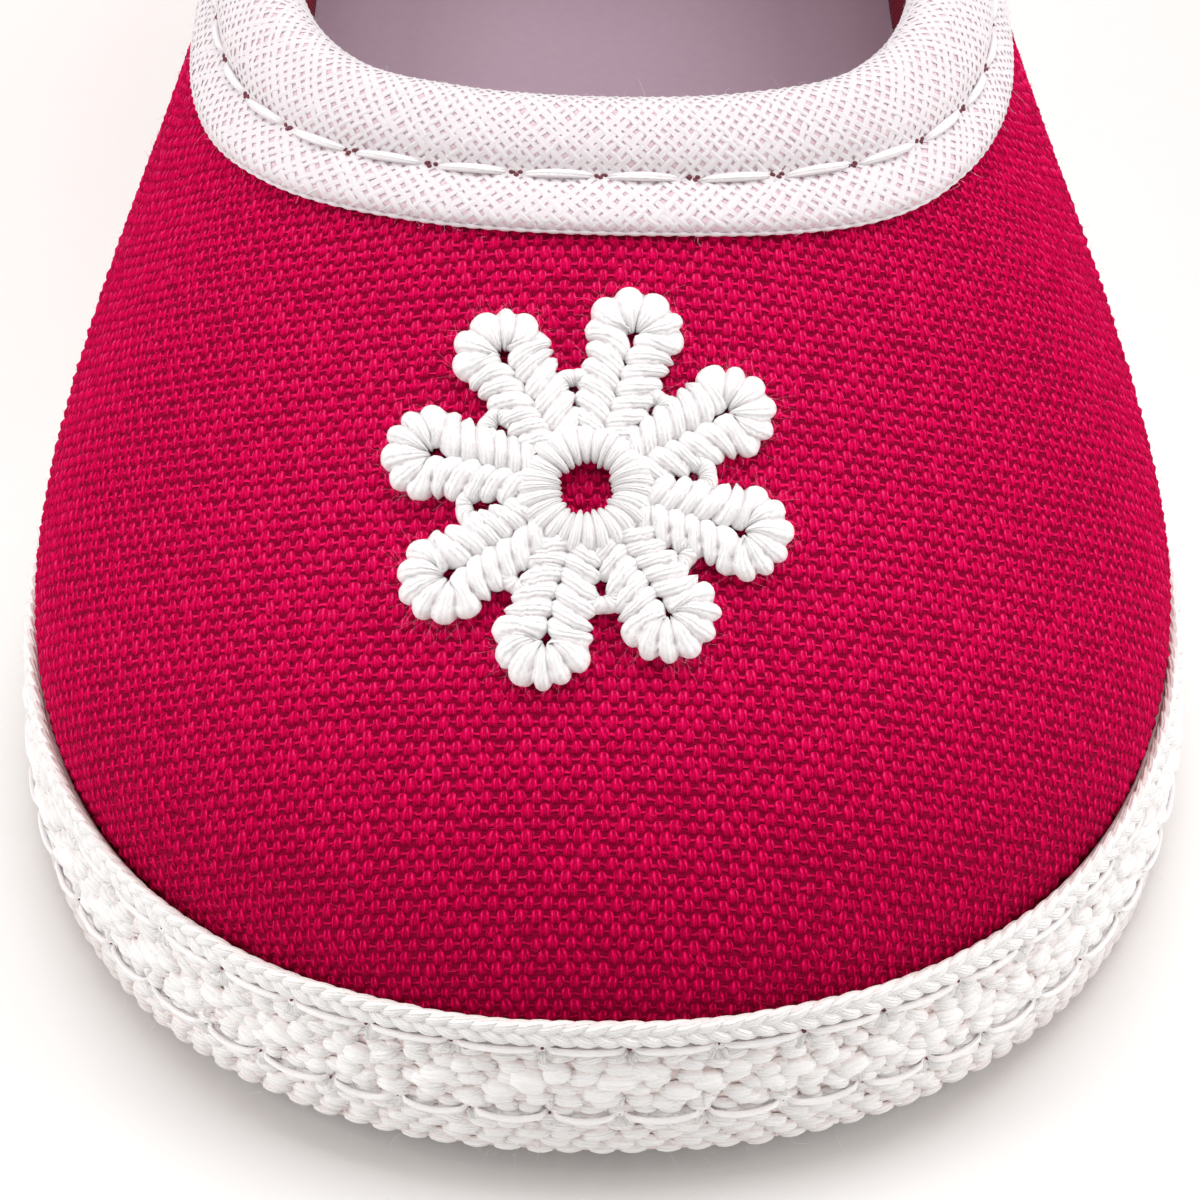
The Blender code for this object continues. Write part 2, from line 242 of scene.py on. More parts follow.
def wall(turn, share):
    """Points of the upper's outer face. share runs from the foot, 0, to the collar, 1."""
    turn, share = np.broadcast_arrays(np.asarray(turn, float), np.asarray(share, float))
    around, side = around_and_side(turn)
    row = section_at(around)
    foot, outward = outline(around)
    foot[..., 2] = FEATHER_UP + sole_lift(foot[..., 1])
    collar = np.stack((row.collar_x, row.collar_back - LENGTH / 2, row.collar_up), -1)
    away = unit((foot - collar) * (1, 1, 0))
    lean = np.radians(row.lean)[..., None]
    low = foot + UP * row.rise[..., None] + outward * row.swell[..., None]
    high = collar + (away * np.cos(lean) - UP * np.sin(lean)) * row.reach[..., None]
    share = share[..., None]
    rest = 1 - share
    points = foot * rest**3 + low * 3 * rest**2 * share + high * 3 * rest * share**2 + collar * share**3
    points[..., 0] *= side
    return points


def wall_normal(turn, share, step=0.002):
    turn, share = np.asarray(turn, float), np.asarray(share, float)
    around = wall(turn + step, share) - wall(turn - step, share)
    upwards = wall(turn, share + step) - wall(turn, share - step)
    return unit(np.cross(around, upwards))


def off_wall(turn, share, lift):
    """Points lifted off the upper's outer face."""
    return wall(turn, share) + wall_normal(turn, share) * lift


# Pieces


def placed(name, data):
    """A new object in the scene."""
    obj = bpy.data.objects.new(name, data)
    bpy.context.scene.collection.objects.link(obj)
    return obj


class Piece:
    """Collects grids of points and makes one object of them.

    Each point has a place on its thread, which the materials read: across it, along it, and its own number.
    """

    def __init__(self, name, *materials):
        self.name = name
        self.materials = materials
        self.points, self.faces, self.places, self.slots = [], [], [], []
        self.count = 0

    def add_grids(self, points, places, closed=False, slot=0):
        """points is (grids, rows, columns, 3). A closed grid joins its last column to its first."""
        grids, rows, columns = points.shape[:3]
        number = np.arange(grids * rows * columns).reshape(grids, rows, columns) + self.count
        ahead = np.roll(number, -1, axis=2) if closed else number[:, :, 1:]
        here = number if closed else number[:, :, :-1]
        quads = np.stack((here[:, :-1], ahead[:, :-1], ahead[:, 1:], here[:, 1:]), -1).reshape(-1, 4)
        self.points.append(points.reshape(-1, 3))
        self.places.append(np.broadcast_to(places, points.shape).reshape(-1, 3))
        self.faces.append(quads)
        self.slots.append(np.full(len(quads), slot))
        self.count += grids * rows * columns

    def add_grid(self, points, places, closed=False, slot=0):
        self.add_grids(points[None], places[None], closed, slot)

    def add_plain_rings(self, rings):
        """Closed rings, (rings, points, 3), of a material that has no threads."""
        self.add_grid(rings, thread_grid(0, np.zeros(rings.shape[:2])), closed=True)

    def make(self, replaces=(), merge=0.0, smooth=True):
        points = np.concatenate(self.points)
        faces = np.concatenate(self.faces)
        mesh = bpy.data.meshes.new(self.name)
        mesh.vertices.add(len(points))
        mesh.vertices.foreach_set("co", points.ravel())
        mesh.loops.add(faces.size)
        mesh.loops.foreach_set("vertex_index", faces.ravel())
        mesh.polygons.add(len(faces))
        mesh.polygons.foreach_set("loop_start", np.arange(0, faces.size, 4))
        mesh.polygons.foreach_set("material_index", np.concatenate(self.slots))
        mesh.update(calc_edges=True)
        place = mesh.attributes.new("thread", "FLOAT_VECTOR", "POINT")
        place.data.foreach_set("vector", np.concatenate(self.places).ravel())
        for material in self.materials:
            mesh.materials.append(material)
        mesh.validate()
        if merge:
            bm = bmesh.new()
            bm.from_mesh(mesh)
            bmesh.ops.remove_doubles(bm, verts=bm.verts, dist=merge)
            bmesh.ops.dissolve_degenerate(bm, dist=merge, edges=bm.edges)
            bm.to_mesh(mesh)
            bm.free()
        if smooth:
            mesh.shade_smooth()
        else:
            mesh.shade_flat()
        obj = placed(self.name, mesh)
        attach(obj, "root")
        if replaces:
            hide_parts(replaces)
        return obj


def thread_grid(across, along, own=0.0):
    across, along, own = np.broadcast_arrays(across, along, own)
    return np.stack((across, along, own), -1)


# Materials


class Value:
    """A number that a material has at each point of a surface, for use in plain sums."""

    def __init__(self, paint, socket):
        self.paint = paint
        self.socket = socket

    def __add__(self, other):
        return self.paint.sum("ADD", self, other)

    def __sub__(self, other):
        return self.paint.sum("SUBTRACT", self, other)

    def __rsub__(self, other):
        return self.paint.sum("SUBTRACT", other, self)

    def __mul__(self, other):
        return self.paint.sum("MULTIPLY", self, other)

    def __truediv__(self, other):
        return self.paint.sum("DIVIDE", self, other)

    def __pow__(self, power):
        return self.paint.sum("POWER", self, power)

    def __abs__(self):
        return self.paint.sum("ABSOLUTE", self)


class Finish:
    """A material, with short ways to feed its shader."""

    def __init__(self, name, **sockets):
        self.material = bpy.data.materials.new(name)
        self.material.use_nodes = True
        self.nodes = self.material.node_tree.nodes
        self.links = self.material.node_tree.links
        self.shader = self.nodes["Principled BSDF"]
        for socket, value in sockets.items():
            self.shader.inputs[socket.replace("_", " ")].default_value = value

    def sum(self, operation, *values):
        node = self.nodes.new("ShaderNodeMath")
        node.operation = operation
        for socket, value in zip(node.inputs, values):
            if isinstance(value, Value):
                self.links.new(value.socket, socket)
            else:
                socket.default_value = value
        return Value(self, node.outputs[0])

    def parts(self, vector):
        node = self.nodes.new("ShaderNodeSeparateXYZ")
        self.links.new(vector, node.inputs[0])
        return [Value(self, socket) for socket in node.outputs]

    def thread(self):
        """Across, along and own number of the point's place on its thread."""
        attribute = self.nodes.new("ShaderNodeAttribute")
        attribute.attribute_name = "thread"
        return self.parts(attribute.outputs["Vector"])

    def place(self):
        """x, y and z in the shoe's frame."""
        return self.parts(self.nodes.new("ShaderNodeTexCoord").outputs["Object"])

    def noise(self, scale, detail=2.0):
        """Noise in the shoe's frame, where scale counts its lumps in a metre."""
        where = self.nodes.new("ShaderNodeTexCoord")
        noise = self.nodes.new("ShaderNodeTexNoise")
        noise.inputs["Scale"].default_value = scale
        noise.inputs["Detail"].default_value = detail
        self.links.new(where.outputs["Object"], noise.inputs["Vector"])
        return Value(self, noise.outputs["Fac"])

    def fade(self, value, start, stop, first, last):
        """Smoothly from first to last while value goes from start to stop."""
        fade = self.nodes.new("ShaderNodeMapRange")
        fade.interpolation_type = "SMOOTHSTEP"
        for socket, number in zip(fade.inputs[1:5], (start, stop, first, last)):
            socket.default_value = number
        self.links.new(value.socket, fade.inputs[0])
        return Value(self, fade.outputs[0])

    def colour(self, value, *stops):
        """Colours the surface by a ramp of (position, colour) stops."""
        node = self.nodes.new("ShaderNodeValToRGB")
        ramp = node.color_ramp
        for stop, (position, colour) in enumerate(stops):
            element = ramp.elements[stop] if stop < 2 else ramp.elements.new(position)
            element.position = position
            element.color = (*colour, 1)
        self.links.new(value.socket, node.inputs[0])
        self.links.new(node.outputs[0], self.shader.inputs["Base Color"])

    def relief(self, height, distance):
        node = self.nodes.new("ShaderNodeBump")
        node.inputs["Distance"].default_value = distance
        self.links.new(height.socket, node.inputs["Height"])
        self.links.new(node.outputs[0], self.shader.inputs["Normal"])


def painted_toe_shade(paint):
    """How much painted shade darkens the canvas: 1 at the foot of the toe, less at the sides and 0 on the
    vamp.
    """
    x, y, z = paint.place()
    toe = paint.fade(y * 0.35 + z, -13 * MM, 13 * MM, 1.0, 0.0)
    aside = paint.fade(abs(x), 10 * MM, 30 * MM, 0.0, 0.45)
    return paint.sum("MAXIMUM", toe, aside)


def yarn_finish(name, roughness, gloss, sheen, sheen_roughness, tint=(1, 1, 1, 1)):
    return Finish(
        name,
        Roughness=roughness,
        Specular_IOR_Level=gloss,
        Sheen_Weight=sheen,
        Sheen_Roughness=sheen_roughness,
        Sheen_Tint=tint,
    )


def canvas_warp():
    """Crimson yarn of the beads, with painted shade at sides and ends and painted highlights near the top.
    """
    paint = yarn_finish("crimson_warp", 0.6, 0.02, 0.03, 0.5, (1.0, 0.04, 0.20, 1))
    across, along, own = paint.thread()
    full = 1 - paint.sum("MAXIMUM", abs(across) ** 3.5, abs(along) ** 2.5)
    ply = paint.sum("SINE", across * 8.5 + along * 0.9 + own * 6.0)
    fibres = paint.noise(9000, 3)
    painted_top_highlight = paint.sum("MAXIMUM", 1 - abs(along - 0.4) * 2.2, 0.0)
    # Painted light and shade: each bead is darker at its sides and ends and lighter towards its top end,
    # with painted highlights on its plies near the top; the ramp's last stop is the highlight colour.
    shade = full * 0.36 + own * 0.08 + along * 0.15 + painted_top_highlight * ply * 0.28 + ply * 0.09 + fibres * 0.5
    # The colour also takes painted shade at the foot of the toe and at the sides.
    paint.colour(
        shade - painted_toe_shade(paint) * 0.30,
        (0.05, (0.29, 0.0005, 0.030)),
        (0.36, (0.59, 0.0010, 0.063)),
        (0.56, (0.83, 0.0016, 0.097)),
        (0.74, (0.91, 0.0075, 0.128)),
        (0.95, (0.93, 0.042, 0.194)),
    )
    paint.relief(fibres * 1.2 + ply, 0.07 * MM)
    return paint.material


def canvas_weft():
    """Crimson yarn that lies low between the beads, in rows."""
    paint = yarn_finish("crimson_weft", 0.7, 0.04, 0.04, 0.5, (1.0, 0.06, 0.22, 1))
    _, along, _ = paint.thread()
    fibres = paint.noise(8000, 3)
    bent = paint.noise(2200) * 0.5 + (along - 0.25)
    off = paint.sum("FRACT", bent) * 2.0 - 1.0
    ridge = 1 - paint.sum("MINIMUM", abs(off) / 0.38, 1.0) ** 2.0
    ply = paint.sum("SINE", bent * 40.0)
    # Painted light and shade: the weft is lighter on its ridge and darker in the gaps between the rows, and
    # darkened at the foot of the toe and at the sides.
    paint.colour(
        fibres * 0.3 + ridge * 0.6 - painted_toe_shade(paint) * 0.25,
        (0.15, (0.25, 0.0005, 0.028)),
        (0.48, (0.54, 0.0012, 0.060)),
        (0.74, (0.90, 0.008, 0.130)),
    )
    paint.relief(ply * 0.08 + fibres * 0.3 + ridge, 0.14 * MM)
    return paint.material


def lining():
    """Dark red twill inside the upper."""
    paint = Finish("dark_red_lining", Roughness=0.8, Sheen_Weight=0.1)
    across, along, _ = paint.thread()
    shade = paint.sum("SINE", (across + along) * 6.28) * 0.2 + paint.noise(5000, 3)
    paint.colour(shade, (0.2, (0.16, 0.001, 0.018)), (0.8, (0.36, 0.002, 0.040)))
    paint.relief(shade, 0.06 * MM)
    return paint.material


def white_yarn(name, dark, light, plies, distance, roughness=0.5, fluff=0.35, foot=0.0):
    """White thread with fine plies along it, some fluff and painted shade at its sides and ends. foot is how
    much painted shade darkens it towards the floor.
    """
    paint = yarn_finish(name, roughness, 0.4, 0.25, 0.4)
    across, along, own = paint.thread()
    fibres = paint.noise(6000, 3)
    ply = paint.sum("SINE", across * plies + (fibres * 3.0 + (own * 6.28 + along * 0.8)))
    # dark is the painted shade at the thread's sides and ends, where it meets its neighbours.
    full = 1 - paint.sum("MAXIMUM", abs(across) ** 2.2, abs(along) ** 4.0)
    shade = ply * 0.12 + full * 0.8
    # Painted shade towards the floor.
    if foot:
        shade = shade - paint.fade(paint.place()[2], 0.5 * MM, 4.0 * MM, foot, 0.0)
    paint.colour(shade, (0.0, dark), (0.62, light))
    paint.relief(fibres * fluff + ply * 0.5, distance)
    return paint.material


def wrapped_lace():
    """Bright satin thread wound round the flower's cords."""
    paint = yarn_finish("white_lace", 0.42, 0.5, 0.3, 0.35)
    _, along, _ = paint.thread()
    fibres = paint.noise(4000, 3)
    thread = paint.sum("SINE", fibres * 4.0 + along * 22.0)
    # Painted shade between the wraps: each wrap is darker towards its ends.
    groove = abs(paint.sum("FRACT", along) * 2.0 - 1.0) ** 6.0
    shade = thread * 0.08 + 0.60 - groove * 0.40
    paint.colour(shade, (0.05, (0.66, 0.585, 0.60)), (0.62, (0.89, 0.88, 0.885)))
    paint.relief(fibres * 0.4 + thread * 0.45, 0.045 * MM)
    return paint.material


def fuzz(name, dark, light):
    """Loose fibres."""
    paint = Finish(name, Roughness=0.9)
    paint.colour(paint.noise(3000), (0.3, dark), (0.7, light))
    return paint.material


def mottled(name, scale, dark, light, roughness, distance, sheen=0.1):
    """Plain cloth or felt with a grain of lumps."""
    paint = Finish(name, Roughness=roughness, Sheen_Weight=sheen)
    grain = paint.noise(scale, 4) * 0.6 + paint.noise(scale / 40) * 0.4
    paint.colour(grain, (0.3, dark), (0.7, light))
    paint.relief(grain, distance)
    return paint.material


# Threads: tubes and hairs


def add_tubes(piece, centres, sides, ups, half_wide, half_high, rounds, own, along=None):
    """Tubes along centres, (tubes, points, 3), with an oval section of the given half sizes."""
    angle = circle(rounds)
    wide = np.broadcast_to(half_wide, centres.shape[:2])[..., None, None]
    high = np.broadcast_to(half_high, centres.shape[:2])[..., None, None]
    round_side = sides[:, :, None] * np.cos(angle)[None, None, :, None] * wide
    round_up = ups[:, :, None] * np.sin(angle)[None, None, :, None] * high
    points = centres[:, :, None] + round_side + round_up
    if along is None:
        along = np.linspace(-1, 1, centres.shape[1])[None, :, None]
    places = thread_grid(np.broadcast_to(np.sin(angle - np.pi / 2), points.shape[:3]), along, own)
    piece.add_grids(points, places, closed=True)


def add_threads(piece, centres, normals, half_wide, half_high, rounds, own, along=None):
    """Tubes that lie on a face with the given outward directions."""
    sides = unit(np.cross(unit(np.gradient(centres, axis=1)), normals))
    add_tubes(piece, centres, sides, normals, half_wide, half_high, rounds, own, along)


# curl is how far a hair bends aside, in lengths
Hair = namedtuple("Hair", "length radius curl steps")
CANVAS_HAIR = Hair(0.45 * MM, 0.007 * MM, 0.5, 5)
BAND_HAIR = Hair(0.60 * MM, 0.005 * MM, 1.2, 8)
TAPE_HAIR = Hair(0.45 * MM, 0.005 * MM, 1.2, 8)
FLOWER_HAIR = Hair(0.38 * MM, 0.0045 * MM, 2.6, 8)


def add_hairs(piece, roots, directions, hair):
    """Thin hairs that stand off their roots, bend at random and curl."""
    count = len(roots)
    t = np.linspace(0, 1, hair.steps)[None, :, None]
    bend, swing = (unit(RANDOM.normal(0, 1, (count, 1, 3))) for _ in range(2))
    long = (hair.length * RANDOM.uniform(0.4, 1.3, count))[:, None, None]
    phase = RANDOM.uniform(0, 2 * np.pi, (count, 1, 1))
    wave = swing * (np.sin(5 * t + phase) - np.sin(phase)) * 0.25
    centres = roots[:, None] + long * (directions[:, None] * t + bend * hair.curl * t**2 + wave)
    centres[..., 2] = np.maximum(centres[..., 2], 2 * hair.radius)
    along = unit(np.gradient(centres, axis=1))
    sides = unit(np.cross(along, RANDOM.normal(0, 1, (count, 1, 3))))
    thin = hair.radius * np.linspace(1, 0.5, hair.steps)[None]
    add_tubes(piece, centres, sides, np.cross(sides, along), thin, thin, 3, 0.5)


# Canvas upper: the weft layer and lining as one sewn strip, and the warp's beads on top of it

WARP_PITCH = 0.352 * MM  # each yarn shows as a bead on every second row
WEFT_PITCH = 0.625 * MM
HEEL_SEAM_DENT = 0.25 * MM
INSOLE_RIM = SOLE_THICK + GAP + INSOLE_THICK
MARGIN_LONG = 4 * MM  # canvas below the feather line, under the band
HEM_IN = 2.5 * MM  # how far the lining's hem lies over the insole's rim
HEM_UP = 6.5 * MM
HEM_BACK = 0.1 * MM
HEM_HEIGHTS = (0.08 * MM, 0.25 * MM, 0.6 * MM, 1.1 * MM)
ROW_SAG = 17 * MM  # how far the rows drop from the middle of the vamp to the quarters
ROW_SAG_REACH = 30 * MM
COLUMN_DRAW = 0.40  # share by which the columns above the toe spread so as to stay side by side
COLUMN_DRAW_REACH = 25 * MM
COLUMN_DRAW_START = 10 * MM
COLUMN_DRAW_RISE = 45 * MM
COLUMN_LEAN = math.tan(math.radians(3.5))
ROW_SLOPE = math.tan(math.radians(1.4))

# A bead's rows, as shares of its half length, half width and crest
BeadRow = namedtuple("BeadRow", "along wide crest")
BEAD_ROWS = [
    BeadRow(-1.0, 0.40, -0.55),
    BeadRow(-0.62, 0.90, 0.72),
    BeadRow(0.0, 1.0, 1.0),
    BeadRow(0.62, 0.82, 0.62),
    BeadRow(1.0, 0.28, -0.55),
]
BEAD_HALF_LONG = 0.72 * WEFT_PITCH
BEAD_HALF_WIDE = 0.97 * WARP_PITCH
BEAD_CREST = 0.22 * MM
BEAD_EDGE = -0.06 * MM
BEAD_SIZES = (0.86, 1.10)
BEAD_HEIGHTS = (0.80, 1.15)
BEAD_SLANT = 0.07
BEAD_SHIFT = 0.034 * MM
BEAD_UNEVEN = 0.022 * MM
BEADS_BELOW_COLLAR = 5.2 * MM
BEADS_ABOVE_SOLE = 8.3 * MM
VAMP_TURN = 0.43  # how far round from the toe the vamp's beads are one piece
CANVAS_HAIRS = 2400

UPPER_TURNS = np.linspace(-1, 1, 321)
UPPER_SHARES = np.linspace(0, 1, 46)
UPPER_FACE = wall(UPPER_TURNS[None, :], UPPER_SHARES[:, None])
UPPER_NORMALS = wall_normal(UPPER_TURNS[None, :], UPPER_SHARES[:, None])


def grid_triangles(rows, columns):
    number = np.arange(rows * columns).reshape(rows, columns)
    a, b, c, d = number[:-1, :-1], number[:-1, 1:], number[1:, 1:], number[1:, :-1]
    low = np.stack((a, b, c), -1).reshape(-1, 3)
    high = np.stack((a, c, d), -1).reshape(-1, 3)
    return np.concatenate((low, high))


def unwrapped(points, triangles):
    """Places of a mesh's points in a flat map with the least stretch."""
    mesh = bpy.data.meshes.new("pattern")
    mesh.from_pydata(points.tolist(), [], triangles.tolist())
    mesh.uv_layers.new(name="flat")
    obj = placed("pattern", mesh)
    for other in bpy.context.view_layer.objects:
        other.select_set(False)
    obj.select_set(True)
    bpy.context.view_layer.objects.active = obj
    bpy.ops.object.mode_set(mode="EDIT")
    bpy.ops.mesh.select_all(action="SELECT")
    bpy.ops.uv.unwrap(method="MINIMUM_STRETCH", margin=0.0)
    bpy.ops.object.mode_set(mode="OBJECT")
    corners = np.empty(len(mesh.loops) * 2)
    mesh.uv_layers["flat"].uv.foreach_get("vector", corners)
    flat = np.empty((len(points), 2))
    flat[triangles.ravel()] = corners.reshape(-1, 2)
    bpy.data.objects.remove(obj)
    bpy.data.meshes.remove(mesh)
    return flat


def flat_pattern(face):
    """Places, in metres, of a grid of points when the cloth is laid flat, the way a maker would cut it.

    The middle column runs along the second coordinate, with the first one to the right.
    """
    rows, columns = face.shape[:2]
    triangles = grid_triangles(rows, columns)
    points = face.reshape(-1, 3)
    flat = unwrapped(points, triangles)
    edges = points[triangles[:, 1:]] - points[triangles[:, :1]]
    area = np.linalg.norm(np.cross(edges[:, 0], edges[:, 1]), axis=1).sum()
    sides = flat[triangles[:, 1:]] - flat[triangles[:, :1]]
    flat_area = np.abs(sides[:, 0, 0] * sides[:, 1, 1] - sides[:, 0, 1] * sides[:, 1, 0]).sum()
    flat = flat.reshape(rows, columns, 2) * math.sqrt(area / flat_area)
    middle = columns // 2
    origin = flat[0, middle].copy()
    ahead = unit(flat[-1, middle] - origin)
    right = to_the_right(ahead)
    flat = np.stack(((flat - origin) @ right, (flat - origin) @ ahead), -1)
    if flat[-1, middle + 4, 0] < 0:
        flat[..., 0] *= -1
    return (flat + flat[:, ::-1] * (-1, 1)) / 2


def as_lasted(flat):
    """Thread places of a flat pattern after the pull of the last has bent its rows and columns."""
    across, along = flat[..., 0], flat[..., 1]
    drawn = COLUMN_DRAW * smooth_step((along - COLUMN_DRAW_START) / COLUMN_DRAW_RISE)
    column = across - drawn * COLUMN_DRAW_REACH * np.tanh(across / COLUMN_DRAW_REACH)
    row = along + ROW_SAG * (1 - np.exp(-((across / ROW_SAG_REACH) ** 2) / 2))
    return np.stack((column - row * COLUMN_LEAN, row + column * ROW_SLOPE), -1)


PATTERN = as_lasted(flat_pattern(UPPER_FACE))


def hem_in(above_rim):
    """How far the lining turns in over the insole's rim, at a height above the rim."""
    return HEM_IN * np.clip(1 - above_rim / HEM_UP, 0, 1) ** 2


def make_upper():
    piece = Piece("canvas_upper", canvas_weft(), lining())
    foot, outward = outline(UPPER_TURNS)
    lift = UP * sole_lift(foot[:, 1])[:, None]
    margin_up = lift + UP * (SOLE_THICK + GAP)
    dent = np.zeros(len(UPPER_TURNS))
    dent[[0, -1]] = HEEL_SEAM_DENT
    outer = UPPER_FACE - UPPER_NORMALS * dent[None, :, None]
    outer = np.concatenate(((foot + margin_up)[None], outer))

    def hem_at(inward, height):
        return foot - outward * (WALL + inward) + lift + UP * (INSOLE_RIM + height)

    inner = UPPER_FACE - UPPER_NORMALS * WALL
    above_rim = inner[..., 2] - lift[:, 2] - INSOLE_RIM
    inner = inner - outward * hem_in(above_rim)[..., None]
    hem = [hem_at(HEM_BACK, HEM_HEIGHTS[0])] + [hem_at(hem_in(height), height) for height in HEM_HEIGHTS]
    inner = np.concatenate(((foot - outward * WALL + margin_up)[None], hem, inner))

    threads = np.concatenate((PATTERN[:1] - (0, MARGIN_LONG), PATTERN))
    places = thread_grid(threads[..., 0] / WARP_PITCH, threads[..., 1] / WEFT_PITCH)
    inner_places = np.concatenate((np.repeat(places[:1], len(inner) - len(places), axis=0), places))
    piece.add_grid(outer, places)
    piece.add_grid(inner[::-1], inner_places[::-1], slot=1)
    piece.add_grid(np.stack((outer[-1], inner[-1])), places[-2:], slot=1)
    piece.add_grid(np.stack((inner[0], outer[0])), places[:2], slot=1)
    piece.make("upper")


def collar_distance(face):
    """How far below the collar each point of the face is, measured along its rib."""
    steps = np.linalg.norm(np.diff(face, axis=0), axis=2)
    return np.concatenate((np.cumsum(steps[::-1], axis=0)[::-1], np.zeros((1, face.shape[1]))))


def bead_places():
    """(middles, directions along the warp, across it and outwards, turn) of every bead that shows."""
    rows, columns = UPPER_FACE.shape[:2]
    triangles = grid_triangles(rows, columns)
    flat = PATTERN.reshape(-1, 2)
    upright = np.concatenate((flat, np.zeros((len(flat), 1))), 1)
    tree = BVHTree.FromPolygons(upright.tolist(), triangles.tolist())
    low, high = flat.min(0), flat.max(0)
    warps = np.arange(math.floor(low[0] / WARP_PITCH), math.ceil(high[0] / WARP_PITCH))
    wefts = np.arange(math.floor(low[1] / WEFT_PITCH), math.ceil(high[1] / WEFT_PITCH))
    warp, weft = np.meshgrid(warps, wefts)
    over = (warp + weft) % 2 == 0
    spots = np.stack(((warp[over] + 0.5) * WARP_PITCH, (weft[over] + 0.5) * WEFT_PITCH), 1)
    down = Vector((0, 0, -1))
    hits = [tree.ray_cast(Vector((u, v, 1)), down)[2] for u, v in spots.tolist()]
    found = np.array([hit is not None for hit in hits])
    corners = triangles[[hit for hit in hits if hit is not None]]
    spots = spots[found]

    a = flat[corners[:, 0]]
    sides = np.stack((flat[corners[:, 1]] - a, flat[corners[:, 2]] - a), -1)
    inverse = np.linalg.inv(sides)
    shares = (inverse @ (spots - a)[..., None])[..., 0]
    weights = np.concatenate((1 - shares.sum(1, keepdims=True), shares), 1)[..., None]

    def at(values):
        return (values.reshape(rows * columns, -1)[corners] * weights).sum(1)

    first, second, third = (UPPER_FACE.reshape(-1, 3)[corners[:, k]] for k in range(3))
    slopes = np.stack((second - first, third - first), -1) @ inverse
    middles, normals = at(UPPER_FACE), unit(at(UPPER_NORMALS))
    turn = at(np.broadcast_to(UPPER_TURNS, (rows, columns)).copy())[:, 0]
    below = at(collar_distance(UPPER_FACE))[:, 0]
    above = middles[:, 2] - sole_lift(middles[:, 1])
    shows = (below > BEADS_BELOW_COLLAR) & (above > BEADS_ABOVE_SOLE)
    return [values[shows] for values in (middles, slopes[..., 1], slopes[..., 0], normals, turn)]


def make_beads():
    middles, along, across, normals, turn = bead_places()
    count = len(middles)
    x = np.array((-1.0, 0.0, 1.0))
    y, narrow, crest = np.array(BEAD_ROWS).T
    crest = crest[:, None] * BEAD_CREST
    size = RANDOM.uniform(*BEAD_SIZES, (count, 1, 1))
    tall = RANDOM.uniform(*BEAD_HEIGHTS, (count, 1, 1))
    slant = RANDOM.normal(0, BEAD_SLANT, (count, 1, 1))
    own = RANDOM.uniform(0, 1, (count, 1, 1))
    shift = RANDOM.normal(0, BEAD_SHIFT, (count, 2, 1, 1))
    long = BEAD_HALF_LONG * size * y[None, :, None]
    wide = BEAD_HALF_WIDE * size * narrow[None, :, None] * x[None, None, :]
    lift = np.where(x == 0, crest, np.minimum(crest, BEAD_EDGE))[None] * tall
    move_along = long + shift[:, 0]
    move_across = wide + slant * long + shift[:, 1]
    points = (
        middles[:, None, None]
        + along[:, None, None] * move_along[..., None]
        + across[:, None, None] * move_across[..., None]
        + normals[:, None, None] * lift[..., None]
    )
    points = points + RANDOM.normal(0, BEAD_UNEVEN, points.shape)
    places = thread_grid(x[None, None, :], y[None, :, None], own)
    yarn = canvas_warp()
    for name, chosen in (
        ("canvas_vamp", np.abs(turn) <= VAMP_TURN),
        ("canvas_left_quarter", turn < -VAMP_TURN),
        ("canvas_right_quarter", turn > VAMP_TURN),
    ):
        piece = Piece(name, yarn)
        piece.add_grids(points[chosen], places[chosen])
        piece.make()
    make_canvas_hairs(middles, normals)


def make_canvas_hairs(middles, normals):
    """Fibres that lie along the canvas, on some of its beads."""
    piece = Piece("canvas_hairs", fuzz("crimson_fuzz", (0.70, 0.008, 0.085), (0.92, 0.06, 0.20)))
    some = RANDOM.choice(len(middles), CANVAS_HAIRS, replace=False)
    middles, normals = middles[some], normals[some]
    flat = along_face(unit(RANDOM.normal(0, 1, (CANVAS_HAIRS, 3))), normals)
    add_hairs(piece, middles + normals * BEAD_CREST * 0.8, unit(flat + normals * 0.3), CANVAS_HAIR)
    piece.make(smooth=False)


# Sole band: a base strip with rows of puffed floats, two rows of stitches and a braided top edge

BandPoint = namedtuple("BandPoint", "out up")
BAND_FACE = millimetres(
    BandPoint,
    [
        (0.80, 0.0),
        (0.95, 0.25),
        (1.08, 0.6),
        (1.18, 1.2),
        (1.20, 1.8),
        (1.22, 2.4),
        (1.26, 3.0),
        (1.40, 4.2),
        (1.36, 5.6),
        (1.14, 6.6),
        (0.99, 7.3),
        (0.94, 7.65),
        (0.94, 8.2),
        (0.78, 8.8),
    ],
)
BAND_OUTS, BAND_UPS = np.array(BAND_FACE).T
BAND_RUN = 2 * HALF_LENGTH
BAND_BASE_DEEP = 0.30 * MM
BAND_LIP_DOWN = 0.2 * MM  # from the band's top to where its base meets the upper
BAND_HAIRS = 480
BAND_HAIRS_LOW = (0.3, 0.9)  # heights of two in three hairs, in millimetres
BAND_HAIRS_HIGH = (1.2, 8.6)
BAND_HAIR_ROOT = 0.16 * MM  # how far off the band its hairs start
BAND_HAIR_DROOP = 0.5

